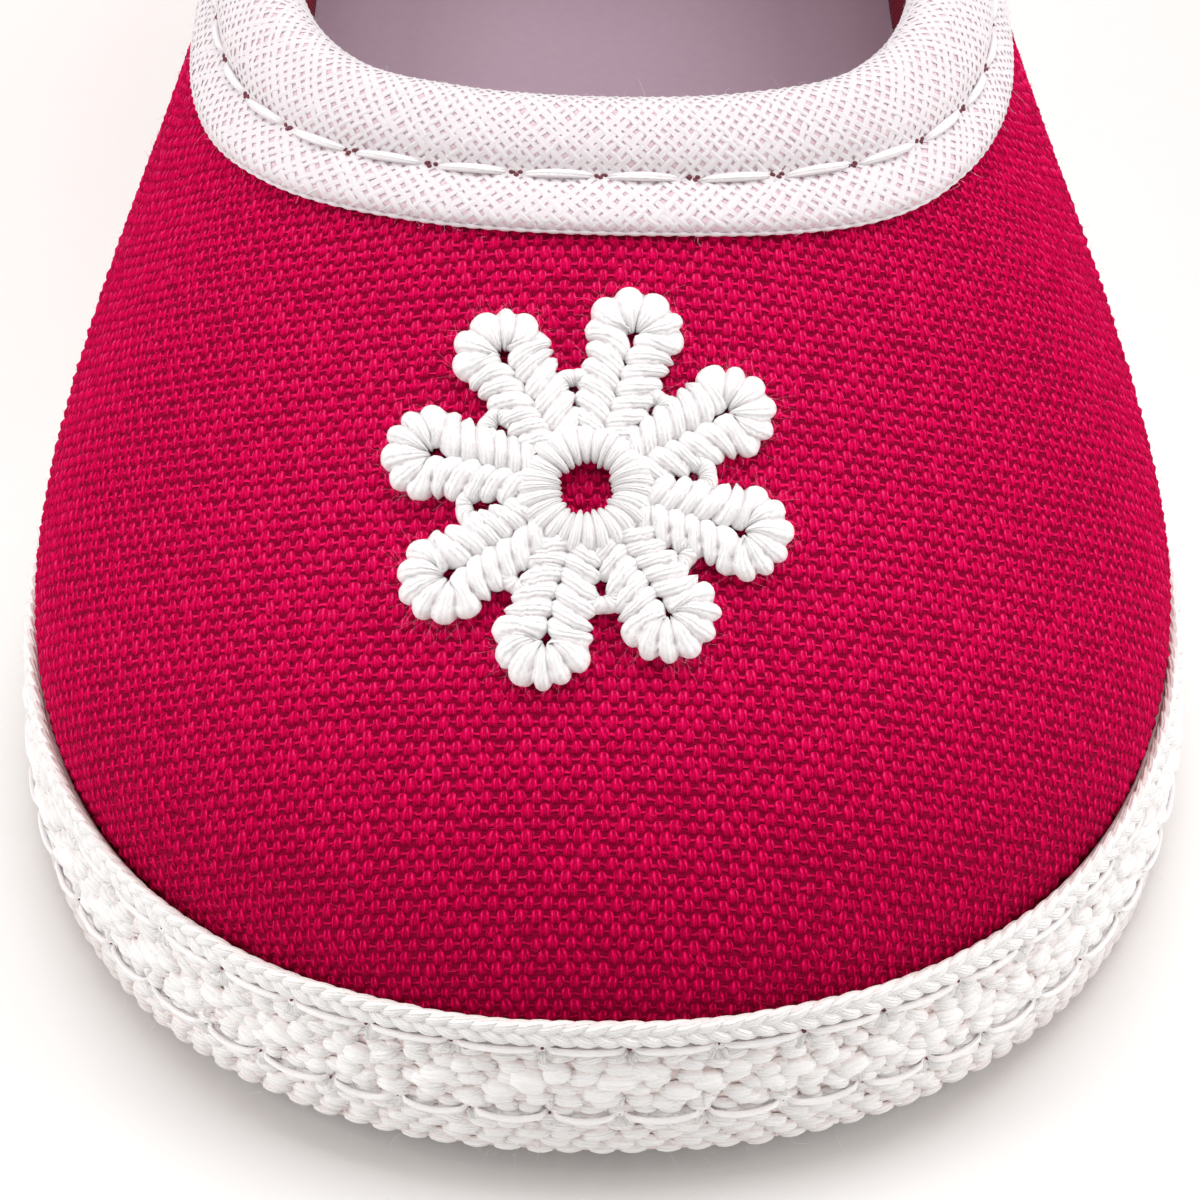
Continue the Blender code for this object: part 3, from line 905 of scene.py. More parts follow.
# up is the row's middle, long and tall its floats' sizes, proud how far they puff, tilt in degrees
FloatRow = namedtuple("FloatRow", "up pitch long tall proud tilt wander")
FLOAT_ROWS = millimetres(
    FloatRow,
    [
        (8.00, 1.20, 1.40, 0.62, 0.31, 12, 0.04),
        (7.52, 1.20, 1.40, 0.66, 0.29, -8, 0.05),
        (6.98, 1.35, 1.55, 0.80, 0.27, 8, 0.07),
        (6.34, 1.60, 1.85, 0.95, 0.30, -9, 0.09),
        (5.64, 1.70, 1.95, 1.02, 0.31, 9, 0.10),
        (4.92, 1.70, 1.95, 1.02, 0.31, -8, 0.10),
        (4.22, 1.60, 1.85, 0.96, 0.30, 9, 0.09),
        (3.58, 1.30, 1.50, 0.78, 0.28, -6, 0.07),
        (3.00, 1.40, 1.65, 0.84, 0.29, 9, 0.08),
        (2.36, 1.60, 1.90, 0.92, 0.30, -9, 0.09),
        (1.72, 1.60, 1.90, 0.90, 0.29, 9, 0.08),
        (1.12, 1.55, 1.85, 0.82, 0.28, -7, 0.07),
        (0.56, 1.50, 1.80, 0.74, 0.26, 5, 0.04),
    ],
    plain=("tilt", "wander"),
)
FILL_ROWS = millimetres(
    FloatRow,
    [(up, 1.10, 1.40, 0.95, 0.14, 0, 0.05) for up in np.arange(0.7, 8.2, 0.72)],
    plain=("tilt", "wander"),
)

# The largest floats climb in steps between the stitch rows. along counts stitches from an upper hole.
ChainFloat = namedtuple("ChainFloat", "along up long tall proud tilt")
FLOAT_CHAIN = millimetres(
    ChainFloat,
    [
        (0.34, 4.12, 1.95, 1.15, 0.40, 0),
        (0.62, 4.78, 2.10, 1.35, 0.46, 4),
        (0.90, 5.46, 2.30, 1.45, 0.50, -2),
        (1.18, 6.04, 1.80, 1.20, 0.44, 4),
    ],
    plain=("along", "tilt"),
)

# A float's ends and edges dip into the band, and its ends keep a share of its width
FLOAT_END_SINK = 0.22 * MM
FLOAT_EDGE_SINK = 0.12 * MM
FLOAT_END_WIDE = 0.12

# How far floats are off their places, the smallest and largest share of their sizes, and degrees of tilt
Uneven = namedtuple("Uneven", "run up smallest largest tilt")
CHAIN_UNEVEN = Uneven(0.18 * MM, 0.12 * MM, 0.80, 1.10, 9)

# Small floats fan out round each needle hole
FAN_TILTS = (-150, -118, -90, -62, -30, 90)
FAN_OUT = 0.62 * MM
FAN_SIZES = np.array((1.05, 0.38, 0.32)) * MM  # long, tall, proud
FAN_VARY = (0.8, 1.2)
FAN_TILT_SPREAD = 8  # degrees

# start is from the toe's middle to the first hole, spread how unevenly holes lie, hole their radius
StitchRow = namedtuple("StitchRow", "up start pitch spread sag lift hole")
BAND_STITCHES = millimetres(
    StitchRow,
    [
        (7.60, 1.22, 4.10, 0.08, 0.04, 0.42, 0.13),
        (3.45, 1.20, 3.60, 0.22, 0.34, 0.43, 0.06),
    ],
)
BAND_THREAD = 0.175 * MM  # radius
BAND_THREAD_END = 0.62  # share of its thickness at a stitch's ends
BAND_STITCH_TUCK = 0.03  # share of a stitch that is hidden at each hole
BAND_STITCH_SINK = 0.16 * MM
BAND_HOLE_RISE = 0.10 * MM

# The braided top edge: strands that swing up and down, and swell where they pass over each other
PLAIT_UP = 8.61 * MM
PLAIT_SWING = 0.46 * MM
PLAIT_DEPTH = 0.13 * MM
PLAIT_LIFT = 0.06 * MM
PLAIT_UNEVEN = 0.05 * MM
PLAIT_PERIOD = 5.2 * MM
PLAIT_STRANDS = 5
PLAIT_HALF_WIDE = 0.30 * MM
PLAIT_HALF_HIGH = 0.24 * MM
PLAIT_SWELL = 0.30


def band_face(run, up, lift):
    """(points, outward directions) of the band's face, lifted off it. run goes once round the shoe."""
    run, up, lift = np.broadcast_arrays(run, up, lift)
    foot, outward = outline(run / HALF_LENGTH - 1)
    step = 0.2 * MM
    out, above, below = (np.interp(up + move, BAND_UPS, BAND_OUTS) for move in (0, step, -step))
    slope = (above - below) / (2 * step)
    normal = unit(outward - UP * slope[..., None])
    points = foot + outward * out[..., None]
    points[..., 2] = up + sole_lift(points[..., 1])
    return points + normal * lift[..., None], normal


def add_floats(piece, run, up, sizes, tilt, own, rows, columns, slot):
    """Lens-shaped puffs of thread on the band, with pointed ends. sizes are long, tall and proud."""
    s = np.linspace(-1, 1, rows)[None, :, None]
    c = np.linspace(-1, 1, columns)[None, None, :]
    long, tall, proud = sizes[:, :, None, None]
    tilt = tilt[:, None, None]
    ease = (1 - np.abs(s) ** 2.4) ** 0.62
    half = tall / 2 * (FLOAT_END_WIDE + (1 - FLOAT_END_WIDE) * ease)
    lift = proud * ease * np.sqrt(1 - 0.96 * c**2) - FLOAT_END_SINK * (1 - ease) - FLOAT_EDGE_SINK * c**2
    forward = s * (long / 2) * np.cos(tilt) - c * half * np.sin(tilt)
    upward = s * (long / 2) * np.sin(tilt) + c * half * np.cos(tilt)
    run = run[:, None, None] + forward
    up = up[:, None, None] + upward
    points, _ = band_face(run, up, lift - BAND_BASE_DEEP / 2)
    piece.add_grids(points, thread_grid(c, s, own[:, None, None]), slot=slot)


def stitch_holes(row):
    """Lengths round the shoe of a stitch row's holes, from one at the toe."""
    count = round(BAND_RUN / row.pitch)
    even = HALF_LENGTH + row.start + np.arange(count) * BAND_RUN / count
    return even + RANDOM.normal(0, row.spread, count)


BAND_HOLES = [stitch_holes(row) for row in BAND_STITCHES]


def make_band_base():
    # The base's pinkish grey is painted shade in the crevices between the floats.
    shade = mottled("braid_shade", 2500, (0.72, 0.55, 0.53), (0.86, 0.73, 0.71), 0.8, 0.1 * MM)
    piece = Piece("band_base", shade)
    run = np.linspace(0, BAND_RUN, 288, endpoint=False)
    face, _ = band_face(run[None], BAND_UPS[:, None], -BAND_BASE_DEEP)
    foot, outward = outline(run / HALF_LENGTH - 1)
    lips = []
    for up in (BAND_UPS[0], BAND_UPS[-1] - BAND_LIP_DOWN):
        lip = foot + outward * GAP
        lip[:, 2] = up + sole_lift(lip[:, 1])
        lips.append(lip[None])
    piece.add_plain_rings(np.concatenate((lips[0], face, lips[1], lips[0])))
    piece.make("sole_band", merge=0.005 * MM)


def add_uneven_floats(piece, run, row, uneven, grid):
    """Floats of a table's row at lengths round the shoe, each a little off its place and sizes."""
    count = len(run)
    run = run + RANDOM.normal(0, uneven.run, count)
    up = row.up + RANDOM.normal(0, uneven.up, count)
    vary = RANDOM.uniform(uneven.smallest, uneven.largest, (3, count))
    tilt = np.radians(row.tilt + RANDOM.normal(0, uneven.tilt, count))
    own = RANDOM.uniform(0, 1, count)
    sizes = np.array((row.long, row.tall, row.proud))[:, None] * vary
    add_floats(piece, run, up, sizes, tilt, own, *grid)


def add_float_rows(piece, rows, grid):
    """Rows of floats round the band. grid is each float's rows, columns and material."""
    for number, row in enumerate(rows):
        count = round(BAND_RUN / row.pitch)
        start = row.pitch / 2 * (number % 2)
        wander = row.wander
        uneven = Uneven(1.6 * (wander * MM), wander * MM, 1 - 2 * wander, 1 + wander, 60 * wander)
        add_uneven_floats(piece, start + np.arange(count) * BAND_RUN / count, row, uneven, grid)


def add_float_chain(piece, holes):
    """The largest floats, in steps from each hole of the upper stitch row."""
    for step in FLOAT_CHAIN:
        run = holes + step.along * BAND_RUN / len(holes)
        add_uneven_floats(piece, run, step, CHAIN_UNEVEN, (7, 5, 0))


def add_fans(piece, holes, row):
    """Small floats that fan out round the needle holes of a stitch row."""
    count = len(holes)
    for angle in FAN_TILTS:
        tilt = np.radians(angle + RANDOM.normal(0, FAN_TILT_SPREAD, count))
        size = RANDOM.uniform(*FAN_VARY, count)
        run = holes + np.cos(tilt) * FAN_OUT
        up = row.up + np.sin(tilt) * FAN_OUT
        own = RANDOM.uniform(0, 1, count)
        add_floats(piece, run, up, FAN_SIZES[:, None] * size, tilt, own, 5, 4, 0)


def make_band_floats(yarn):
    # The low fill floats between the others take a darker copy of the braid's yarn: painted shade in the
    # crevices.
    shaded_fill_yarn = white_yarn("braid_fill_painted_shade", (0.66, 0.52, 0.50), (0.96, 0.91, 0.90), 12.0, 0.05 * MM)
    piece = Piece("band_braid", yarn, shaded_fill_yarn)
    add_float_rows(piece, FILL_ROWS, (4, 3, 1))
    add_float_rows(piece, FLOAT_ROWS, (6, 5, 0))
    add_float_chain(piece, BAND_HOLES[0])
    for holes, row in zip(BAND_HOLES, BAND_STITCHES):
        add_fans(piece, holes, row)
    piece.make()


def make_plait(yarn):
    piece = Piece("band_plait", yarn)
    periods = round(BAND_RUN / PLAIT_PERIOD)
    run = np.linspace(0, BAND_RUN, periods * 18 + 1)
    for strand in range(PLAIT_STRANDS):
        phase = 2 * np.pi * (periods * run / BAND_RUN + strand / PLAIT_STRANDS)
        drift = np.sin(3 * np.pi * run / PLAIT_PERIOD + 2 * strand) * np.sin(np.pi * run / BAND_RUN)
        up = PLAIT_UP + PLAIT_SWING * np.sin(phase) + PLAIT_UNEVEN * drift
        over = np.sin(2 * phase)
        centres, normals = band_face(run, up, PLAIT_LIFT + PLAIT_DEPTH * over)
        swell = (1 + PLAIT_SWELL * over)[None]
        halves = PLAIT_HALF_WIDE * swell, PLAIT_HALF_HIGH * swell
        add_threads(piece, centres[None], normals[None], *halves, 6, strand / PLAIT_STRANDS, along=0.0)
    piece.make()


def add_dots(piece, face, run, across, radius, lift):
    """Small domed dots of the second material on a face, which is band_face or tape_face."""
    angle = circle(8)
    rings = []
    for share, rise in ((1.0, -0.5), (0.75, 0.6), (0.35, 1.0), (0.02, 1.0)):
        ring_run = run[:, None] + radius * share * np.cos(angle)
        ring, _ = face(ring_run, across[:, None] + radius * share * np.sin(angle), lift * rise)
        rings.append(ring)
    points = np.stack(rings, 1)
    piece.add_grids(points, thread_grid(0, np.zeros(points.shape[:3])), closed=True, slot=1)


def needle_holes():
    # Dark red dots at the needle holes: partly the red seen through them, partly painted shade in the holes.
    return mottled("needle_holes", 4000, (0.10, 0.02, 0.03), (0.22, 0.05, 0.07), 0.9, 0.02 * MM)


def make_band_stitches():
    dark, light = (0.90, 0.84, 0.85), (0.98, 0.975, 0.975)
    thread = white_yarn("stitch_thread", dark, light, 5.0, 0.03 * MM, 0.35, 0.15)
    piece = Piece("band_stitches", thread, needle_holes())
    t = np.linspace(0, 1, 13)
    arch = np.sin(np.pi * t)
    for holes, row in zip(BAND_HOLES, BAND_STITCHES):
        gaps = np.diff(holes, append=holes[0] + BAND_RUN)[:, None]
        run = holes[:, None] + gaps * (BAND_STITCH_TUCK + (1 - 2 * BAND_STITCH_TUCK) * t)
        lift = row.lift * arch**0.22 - BAND_STITCH_SINK
        centres, normals = band_face(run, row.up - row.sag * arch, lift)
        thick = (BAND_THREAD * (BAND_THREAD_END + (1 - BAND_THREAD_END) * arch**0.5))[None]
        own = RANDOM.uniform(0, 1, (len(holes), 1, 1))
        add_threads(piece, centres, normals, thick * 1.3, thick * 0.85, 8, own)
        add_dots(piece, band_face, holes, np.full(len(holes), row.up), row.hole, BAND_HOLE_RISE)
    piece.make()


def make_band_hairs(hair):
    piece = Piece("band_hairs", hair)
    run = RANDOM.uniform(0, BAND_RUN, BAND_HAIRS)
    low, high = (RANDOM.uniform(*ups, BAND_HAIRS) for ups in (BAND_HAIRS_LOW, BAND_HAIRS_HIGH))
    up = np.where(np.arange(BAND_HAIRS) % 3, low, high) * MM
    roots, normals = band_face(run, up, BAND_HAIR_ROOT)
    add_hairs(piece, roots, unit(normals - UP * BAND_HAIR_DROOP), BAND_HAIR)
    piece.make(smooth=False)


# Bias binding: a folded tape with a stitched groove, covered with two sets of slanting yarns

# Section of the tape outside: down from the collar's edge along the wall, and lift off the wall
TapePoint = namedtuple("TapePoint", "down lift")
TAPE_OUTSIDE = millimetres(
    TapePoint,
    [
        (6.02, 0.12),
        (6.22, 0.42),
        (6.10, 0.74),
        (5.75, 0.88),
        (5.10, 0.86),
        (4.50, 0.76),
        (4.05, 0.58),
        (3.75, 0.46),
        (3.45, 0.58),
        (3.05, 0.84),
        (2.50, 1.06),
        (1.80, 1.18),
        (1.00, 1.20),
        (0.40, 1.17),
    ],
)
TAPE_INSIDE = millimetres(
    TapePoint,
    [(0.40, 1.12), (1.20, 1.08), (2.40, 1.00), (3.80, 0.84), (4.90, 0.60), (5.05, 0.15)],
)

# How far down from their usual places the tape's fold, groove and lower edge were sewn, round the shoe
Sewn = namedtuple("Sewn", "turn fold groove edge")
SEWN = millimetres(
    Sewn,
    [
        (-0.70, 0.00, -0.55, 0.00),
        (-0.40, 0.00, -0.90, -0.30),
        (-0.27, 0.05, -0.85, -0.60),
        (-0.14, 0.15, -0.85, -0.45),
        (0.00, 0.35, -0.75, -0.30),
        (0.08, 0.45, -0.42, -0.08),
        (0.14, 0.55, -0.20, 0.30),
        (0.22, 0.62, -0.18, 0.40),
        (0.30, 0.60, -0.22, -0.30),
        (0.42, 0.40, -0.40, -0.60),
        (0.55, 0.20, -0.50, -0.50),
        (0.70, 0.00, -0.55, 0.00),
    ],
    plain=("turn",),
)
SEWN_SMOOTHING = 0.05  # of turn, to each side
TAPE_ROLL = 1.14 * MM  # lift of the tape where it turns over the collar's edge
TAPE_ROLL_STEPS = 11
TAPE_GROOVE_ROW = 7  # the row of TAPE_OUTSIDE where the stitches run
TAPE_UNDER_YARNS = 0.04 * MM
TAPE_BACK_SHARE = 0.95  # where on the wall the tape's back lies
TAPE_BACK_LIFT = 0.05 * MM
YARN_PITCH = 0.51 * MM
YARN_HALF = 0.168 * MM
YARN_CREST = 0.05 * MM
YARN_WAVE = 0.022 * MM
YARN_SPREAD = 0.06 * MM  # how unevenly the yarns lie
YARN_WANDER = 0.045 * MM  # how far each strays from its line
YARN_SIZES = (0.8, 1.15)  # from yarn to yarn
YARN_SWELLS = (0.85, 1.15)  # along a yarn
EDGE_YARN = 0.17 * MM  # largest radius of the yarns' turns along the folded lower edge
EDGE_NOTCH = 0.62  # share by which it is thinner between two turns
TAPE_STITCH_PITCH = 4.2 * MM
TAPE_STITCH_START = -0.3 * MM
TAPE_STITCH_CLEAR = 0.27 * MM  # from a hole's middle to the thread that shows
TAPE_STITCH_SPREAD = 0.12 * MM
TAPE_STITCH_SLOPE = (0.05 * MM, 0.04 * MM)  # how far its ends are off the groove, and how that varies
TAPE_STITCH_SINK = 0.10 * MM
TAPE_STITCH_LIFT = 0.36 * MM
TAPE_THREAD = 0.25 * MM  # radius
TAPE_THREAD_END = 0.45  # share of its thickness at a stitch's ends
TAPE_HOLE = 0.175 * MM  # radius
TAPE_HOLE_SPREAD = 0.03 * MM
TAPE_HOLE_RISE = 0.14 * MM
TAPE_HOLES = ((-0.20 * MM, 0.02 * MM), (0.03 * MM, -0.09 * MM), (0.21 * MM, 0.05 * MM))
TAPE_HAIRS = 420
TAPE_HAIR_ROOT = 0.05 * MM  # how far off the tape its hairs start


def sewn_at(turns):
    """How far the tape's fold, groove and lower edge were sewn from their usual places, on smooth curves."""
    near = turns + np.linspace(-SEWN_SMOOTHING, SEWN_SMOOTHING, 21)[:, None]
    places, *columns = zip(*SEWN)
    return [np.interp(near, places, column).mean(0) for column in columns]


def tape_grid(turns):
    """Points of the tape's face, (rows, turns, 3), from its lower edge over the collar to its inner edge."""
    shares = np.linspace(0.3, 1, 90)
    below = collar_distance(wall(turns[None], shares[:, None]))

    def shares_at(downs):
        ribs = zip(downs, below.T)
        return np.array([np.interp(down, rib[::-1], shares[::-1]) for down, rib in ribs])

    fold, groove, lower = sewn_at(turns)
    usual_groove, usual_lower = TAPE_OUTSIDE[TAPE_GROOVE_ROW].down, TAPE_OUTSIDE[0].down
    rows = []
    for row in TAPE_OUTSIDE:
        share_of_roll = min(row.down / usual_groove, 1)
        share_of_strip = max((row.down - usual_groove) / (usual_lower - usual_groove), 0)
        moved = fold + (groove - fold) * share_of_roll + (lower - groove) * share_of_strip
        rows.append(off_wall(turns, shares_at(row.down + moved), row.lift))
    top = shares_at(fold)
    edge, normal = wall(turns, top), wall_normal(turns, top)
    upwards = unit(edge - wall(turns, top - 0.02))
    middle = edge - normal * (WALL / 2)
    radius = WALL / 2 + TAPE_ROLL
    for angle in np.linspace(0, np.pi, TAPE_ROLL_STEPS):
        rows.append(middle + (normal * math.cos(angle) + upwards * math.sin(angle)) * radius)
    for row in TAPE_INSIDE:
        rows.append(off_wall(turns, shares_at(row.down + fold), -WALL - row.lift))
    return np.stack(rows)


TAPE_TURNS = np.linspace(-1, 1, 541)
TAPE = tape_grid(TAPE_TURNS)
TAPE_NORMALS = unit(np.cross(np.gradient(TAPE, axis=1), np.gradient(TAPE, axis=0)))
TAPE_NORMALS[:, [0, -1]] = unit(TAPE_NORMALS[:, [1]] + TAPE_NORMALS[:, [-2]])
TAPE_RUN = lengths_along(TAPE[TAPE_GROOVE_ROW])
TAPE_LONG = TAPE_RUN[-1]
TAPE_ACROSS = running_sum(np.linalg.norm(np.diff(TAPE, axis=0), axis=2).mean(1))


def tape_face(run, across, lift):
    """(points, outward directions) on the tape, from lengths along and across it, lifted off it."""
    run, across, lift = np.broadcast_arrays(run, across, lift)
    column = np.interp(run % TAPE_LONG, TAPE_RUN, np.arange(len(TAPE_RUN)))
    row = np.interp(across, TAPE_ACROSS, np.arange(len(TAPE_ACROSS)))
    i = np.minimum(row.astype(int), len(TAPE_ACROSS) - 2)
    j = np.minimum(column.astype(int), len(TAPE_RUN) - 2)
    s, t = (row - i)[..., None], (column - j)[..., None]

    def at(grid):
        low = grid[i, j] * (1 - t) + grid[i, j + 1] * t
        high = grid[i + 1, j] * (1 - t) + grid[i + 1, j + 1] * t
        return low * (1 - s) + high * s

    normal = unit(at(TAPE_NORMALS))
    return at(TAPE) + normal * lift[..., None], normal


def make_tape():
    # The tape's base shows in the holes between the yarns; its pinkish grey is painted shade there.
    shade = mottled("tape_shade", 2500, (0.68, 0.46, 0.53), (0.80, 0.63, 0.69), 0.85, 0.05 * MM)
    piece = Piece("binding_tape", shade)
    face = TAPE[:, :-1] - TAPE_NORMALS[:, :-1] * TAPE_UNDER_YARNS
    turns = TAPE_TURNS[:-1]
    lifts = TAPE_BACK_LIFT, -WALL - TAPE_BACK_LIFT
    outside, inside = (off_wall(turns, TAPE_BACK_SHARE, lift)[None] for lift in lifts)
    piece.add_plain_rings(np.concatenate((outside, face, inside)))
    piece.make("collar_binding")


def make_yarns():
    yarn = white_yarn("tape_yarn", (0.72, 0.65, 0.685), (0.765, 0.72, 0.745), 4.0, 0.015 * MM, 0.6)
    piece = Piece("binding_weave", yarn)
    count = round(TAPE_LONG / (YARN_PITCH * math.sqrt(2)))
    spacing = TAPE_LONG / count
    inner_end = TAPE_ACROSS[len(TAPE_OUTSIDE) + TAPE_ROLL_STEPS + 2]
    crossings = np.arange(int(inner_end / (spacing / 2)) + 1)
    across = crossings * spacing / 2
    x = np.array((-1.0, 0.0, 1.0))
    for way in (1, -1):
        start = np.arange(count)[:, None, None] * spacing + RANDOM.normal(0, YARN_SPREAD, (count, 1, 1))
        wander = RANDOM.normal(0, YARN_WANDER, (count, len(crossings), 1))
        half = YARN_HALF * RANDOM.uniform(*YARN_SIZES, (count, 1, 1))
        half = half * RANDOM.uniform(*YARN_SWELLS, wander.shape)
        wave = YARN_WAVE * way * (-1.0) ** crossings[None, :, None]
        side = half * x[None, None] / math.sqrt(2)
        run = start + way * across[None, :, None] + wander - side * way
        lift = wave + np.where(x == 0, YARN_CREST, 0.0)[None, None]
        points, _ = tape_face(run, across[None, :, None] + side, lift)
        if way < 0:
            points = points[:, :, ::-1]
        own = RANDOM.uniform(0, 1, (count, 1, 1))
        piece.add_grids(points, thread_grid(x[None, None], np.zeros((1, len(crossings), 1)), own))
    run = np.linspace(0, TAPE_LONG * 0.9999, count * 5)
    turn_of_yarn = np.abs(np.sin(np.pi * run / spacing)) ** 0.7
    thick = EDGE_YARN * (1 - EDGE_NOTCH * (1 - turn_of_yarn))[None]
    centres, normals = tape_face(run, TAPE_ACROSS[1], 0.0)
    add_threads(piece, centres[None], normals[None], thick, thick * 0.8, 6, 0.5, along=0.0)
    piece.make()


def make_tape_stitches():
    thread = white_yarn("tape_thread", (0.75, 0.68, 0.71), (0.89, 0.865, 0.877), 8.0, 0.03 * MM, 0.4, 0.15)
    piece = Piece("binding_stitches", thread, needle_holes())
    count = round(TAPE_LONG / TAPE_STITCH_PITCH)
    pitch = TAPE_LONG / count
    start = TAPE_LONG / 2 + TAPE_STITCH_START + np.arange(count)[:, None] * pitch
    start = start + RANDOM.normal(0, TAPE_STITCH_SPREAD, (count, 1))
    t = np.linspace(0, 1, 13)
    arch = np.sin(np.pi * t)
    groove = TAPE_ACROSS[TAPE_GROOVE_ROW]
    run = start + TAPE_STITCH_CLEAR + (pitch - 2 * TAPE_STITCH_CLEAR) * t
    slope = RANDOM.normal(*TAPE_STITCH_SLOPE, (count, 1)) * (t * 2 - 1)
    lift = TAPE_STITCH_LIFT * arch**0.5 - TAPE_STITCH_SINK
    centres, normals = tape_face(run, groove + slope, lift)
    thick = (TAPE_THREAD * (TAPE_THREAD_END + (1 - TAPE_THREAD_END) * arch**0.7))[None]
    own = RANDOM.uniform(0, 1, (count, 1, 1))
    add_threads(piece, centres, normals, thick, thick * 0.75, 8, own)
    for aside, below in TAPE_HOLES:
        spread = RANDOM.normal(0, TAPE_HOLE_SPREAD, (2, count))
        run, across = start[:, 0] + aside + spread[0], groove + below + spread[1]
        add_dots(piece, tape_face, run, across, TAPE_HOLE, TAPE_HOLE_RISE)
    piece.make()


def make_tape_hairs(hair):
    piece = Piece("binding_hairs", hair)
    run = RANDOM.uniform(0, TAPE_LONG, TAPE_HAIRS)
    roll = TAPE_ACROSS[len(TAPE_OUTSIDE)], TAPE_ACROSS[len(TAPE_OUTSIDE) + TAPE_ROLL_STEPS - 1]
    edge = TAPE_ACROSS[0], TAPE_ACROSS[3]
    on_edge, on_roll = (RANDOM.uniform(*span, TAPE_HAIRS) for span in (edge, roll))
    across = np.where(np.arange(TAPE_HAIRS) % 2 == 0, on_edge, on_roll)
    roots, normals = tape_face(run, across, TAPE_HAIR_ROOT)
    add_hairs(piece, roots, normals, TAPE_HAIR)
    piece.make(smooth=False)


# Lace flower: cords wound with thread, in a ring and eight looped petals with small bridges between them

FLOWER_SHARE = 0.62
FLOWER_ASIDE = -0.8 * MM
RING_PATH = 2.22 * MM
RING_HALF_WIDE = 1.0 * MM
PETAL_TIP_WIDE = 1.17 * MM
PETAL_ROOT_WIDE = 0.96 * MM
CORD_HALF_HIGH = 0.66 * MM
PIT_COSINE = 0.34  # the hollows are this share of the half width out from the cord's middle
PIT_WIDTH = 0.3
WRAP_LENGTHS = (0.75, 1.25)  # from wrap to wrap
WRAP_SLANT = 0.12  # in wraps, over the cord's height
WRAP_TWIST = 0.45  # in wraps, over the cord's width, away from the petal's tip
CORD_SIT = 0.85  # height of the cord's middle over the vamp, in half heights
SEARCH_FROM = 10 * MM  # above the flower's plan, where rays down to the vamp start
EYELET_BACK = 2.55 * MM  # from the petal's tip to the middle of its eyelet
HAIRS_PER_PETAL = 110
HAIRS_TURN = 1.9  # radians round the eyelet: past a quarter turn, hairs stand along the petal's sides
HAIRS_ROUND_TIP = 2.1 * MM  # from the eyelet
HAIRS_BESIDE = 1.9 * MM  # from the petal's middle line
HAIRS_FROM = 4.5 * MM  # from the flower's middle
HAIRS_UP = 0.4 * MM

# The bulges say how deep the notches between wraps are, and pit how deep the hollows between the knobs at a
# petal's edge and the bundles inside: shares of the cord's size. rest is how high the cord lies.
Cord = namedtuple("Cord", "wraps rest rounds ragged outer_bulge inner_bulge pit")
PETAL_CORD = Cord(17, 0.05 * MM, 20, 0.06, 0.48, 0.30, 0.36)
RING_CORD = Cord(26, 0.30 * MM, 16, 0.12, 0.32, 0.32, 0.0)
BRIDGE_CORD = Cord(4, 0.0, 10, 0.06, 0.16, 0.16, 0.0)
BRIDGE_HALF_WIDE = 0.48 * MM
BRIDGE_ENDS = 5.0 * MM  # from the flower's middle
BRIDGE_TOP = 5.75 * MM
BRIDGE_END_TURN = 0.26  # radians from a petal's middle line
BRIDGE_TOP_TURN = 0.08  # radians from halfway between two petals

# turn is the petal's direction in degrees, reach the distance of its tip from the flower's middle
Petal = namedtuple("Petal", "turn reach")
PETALS = millimetres(
    Petal,
    [
        (31.4, 10.25),
        (74.0, 10.80),
        (119.5, 10.55),
        (164.2, 10.05),
        (212.5, 10.20),
        (255.0, 10.20),
        (302.0, 9.75),
        (345.0, 10.10),
    ],
    plain=("turn",),
)

# The path of a petal's cord on one side: out from the flower's middle or from the eyelet, and aside
PathPoint = namedtuple("PathPoint", "out aside")
PETAL_ROOT = millimetres(PathPoint, [(2.7, 0.70), (4.2, 0.84)])
PETAL_EYELET = millimetres(
    PathPoint,
    [(-1.4, 0.98), (-0.6, 1.08), (0.2, 1.33), (0.85, 1.06), (1.25, 0.54)],
)
PETAL_TIP = 1.38 * MM  # of the path, from the eyelet

VAMP_TREE = BVHTree.FromPolygons(
    UPPER_FACE.reshape(-1, 3).tolist(), grid_triangles(*UPPER_FACE.shape[:2]).tolist()
)
FLOWER_NORMAL = wall_normal(0.0, FLOWER_SHARE)
FLOWER_ACROSS = np.array((1.0, 0.0, 0.0))
FLOWER_UPWARDS = np.cross(FLOWER_NORMAL, FLOWER_ACROSS)
FLOWER_MIDDLE = wall(0.0, FLOWER_SHARE) + FLOWER_ACROSS * FLOWER_ASIDE


def from_plan(flat):
    """Directions in the shoe's frame of directions in the flower's flat plan."""
    return flat[:, :1] * FLOWER_ACROSS + flat[:, 1:] * FLOWER_UPWARDS


def on_vamp(flat):
    """(points, outward directions) on the vamp under places of the flower's flat plan."""
    above = FLOWER_MIDDLE + from_plan(flat) + FLOWER_NORMAL * SEARCH_FROM
    down = Vector(-FLOWER_NORMAL)
    hits = [VAMP_TREE.ray_cast(Vector(p), down) for p in above]
    points = np.array([hit[0] for hit in hits])
    normals = np.array([hit[1] for hit in hits])
    return points, unit(np.where((normals @ FLOWER_NORMAL)[:, None] < 0, -normals, normals))


def direction(angle):
    return np.array((math.cos(angle), math.sin(angle)))


def on_petal(petal, out, aside):
    """Places of the flower's plan, from lengths out along a petal's middle line and aside of it."""
    ahead = direction(math.radians(petal.turn))
    right = to_the_right(ahead)
    return np.multiply.outer(out, ahead) + np.multiply.outer(aside, right)


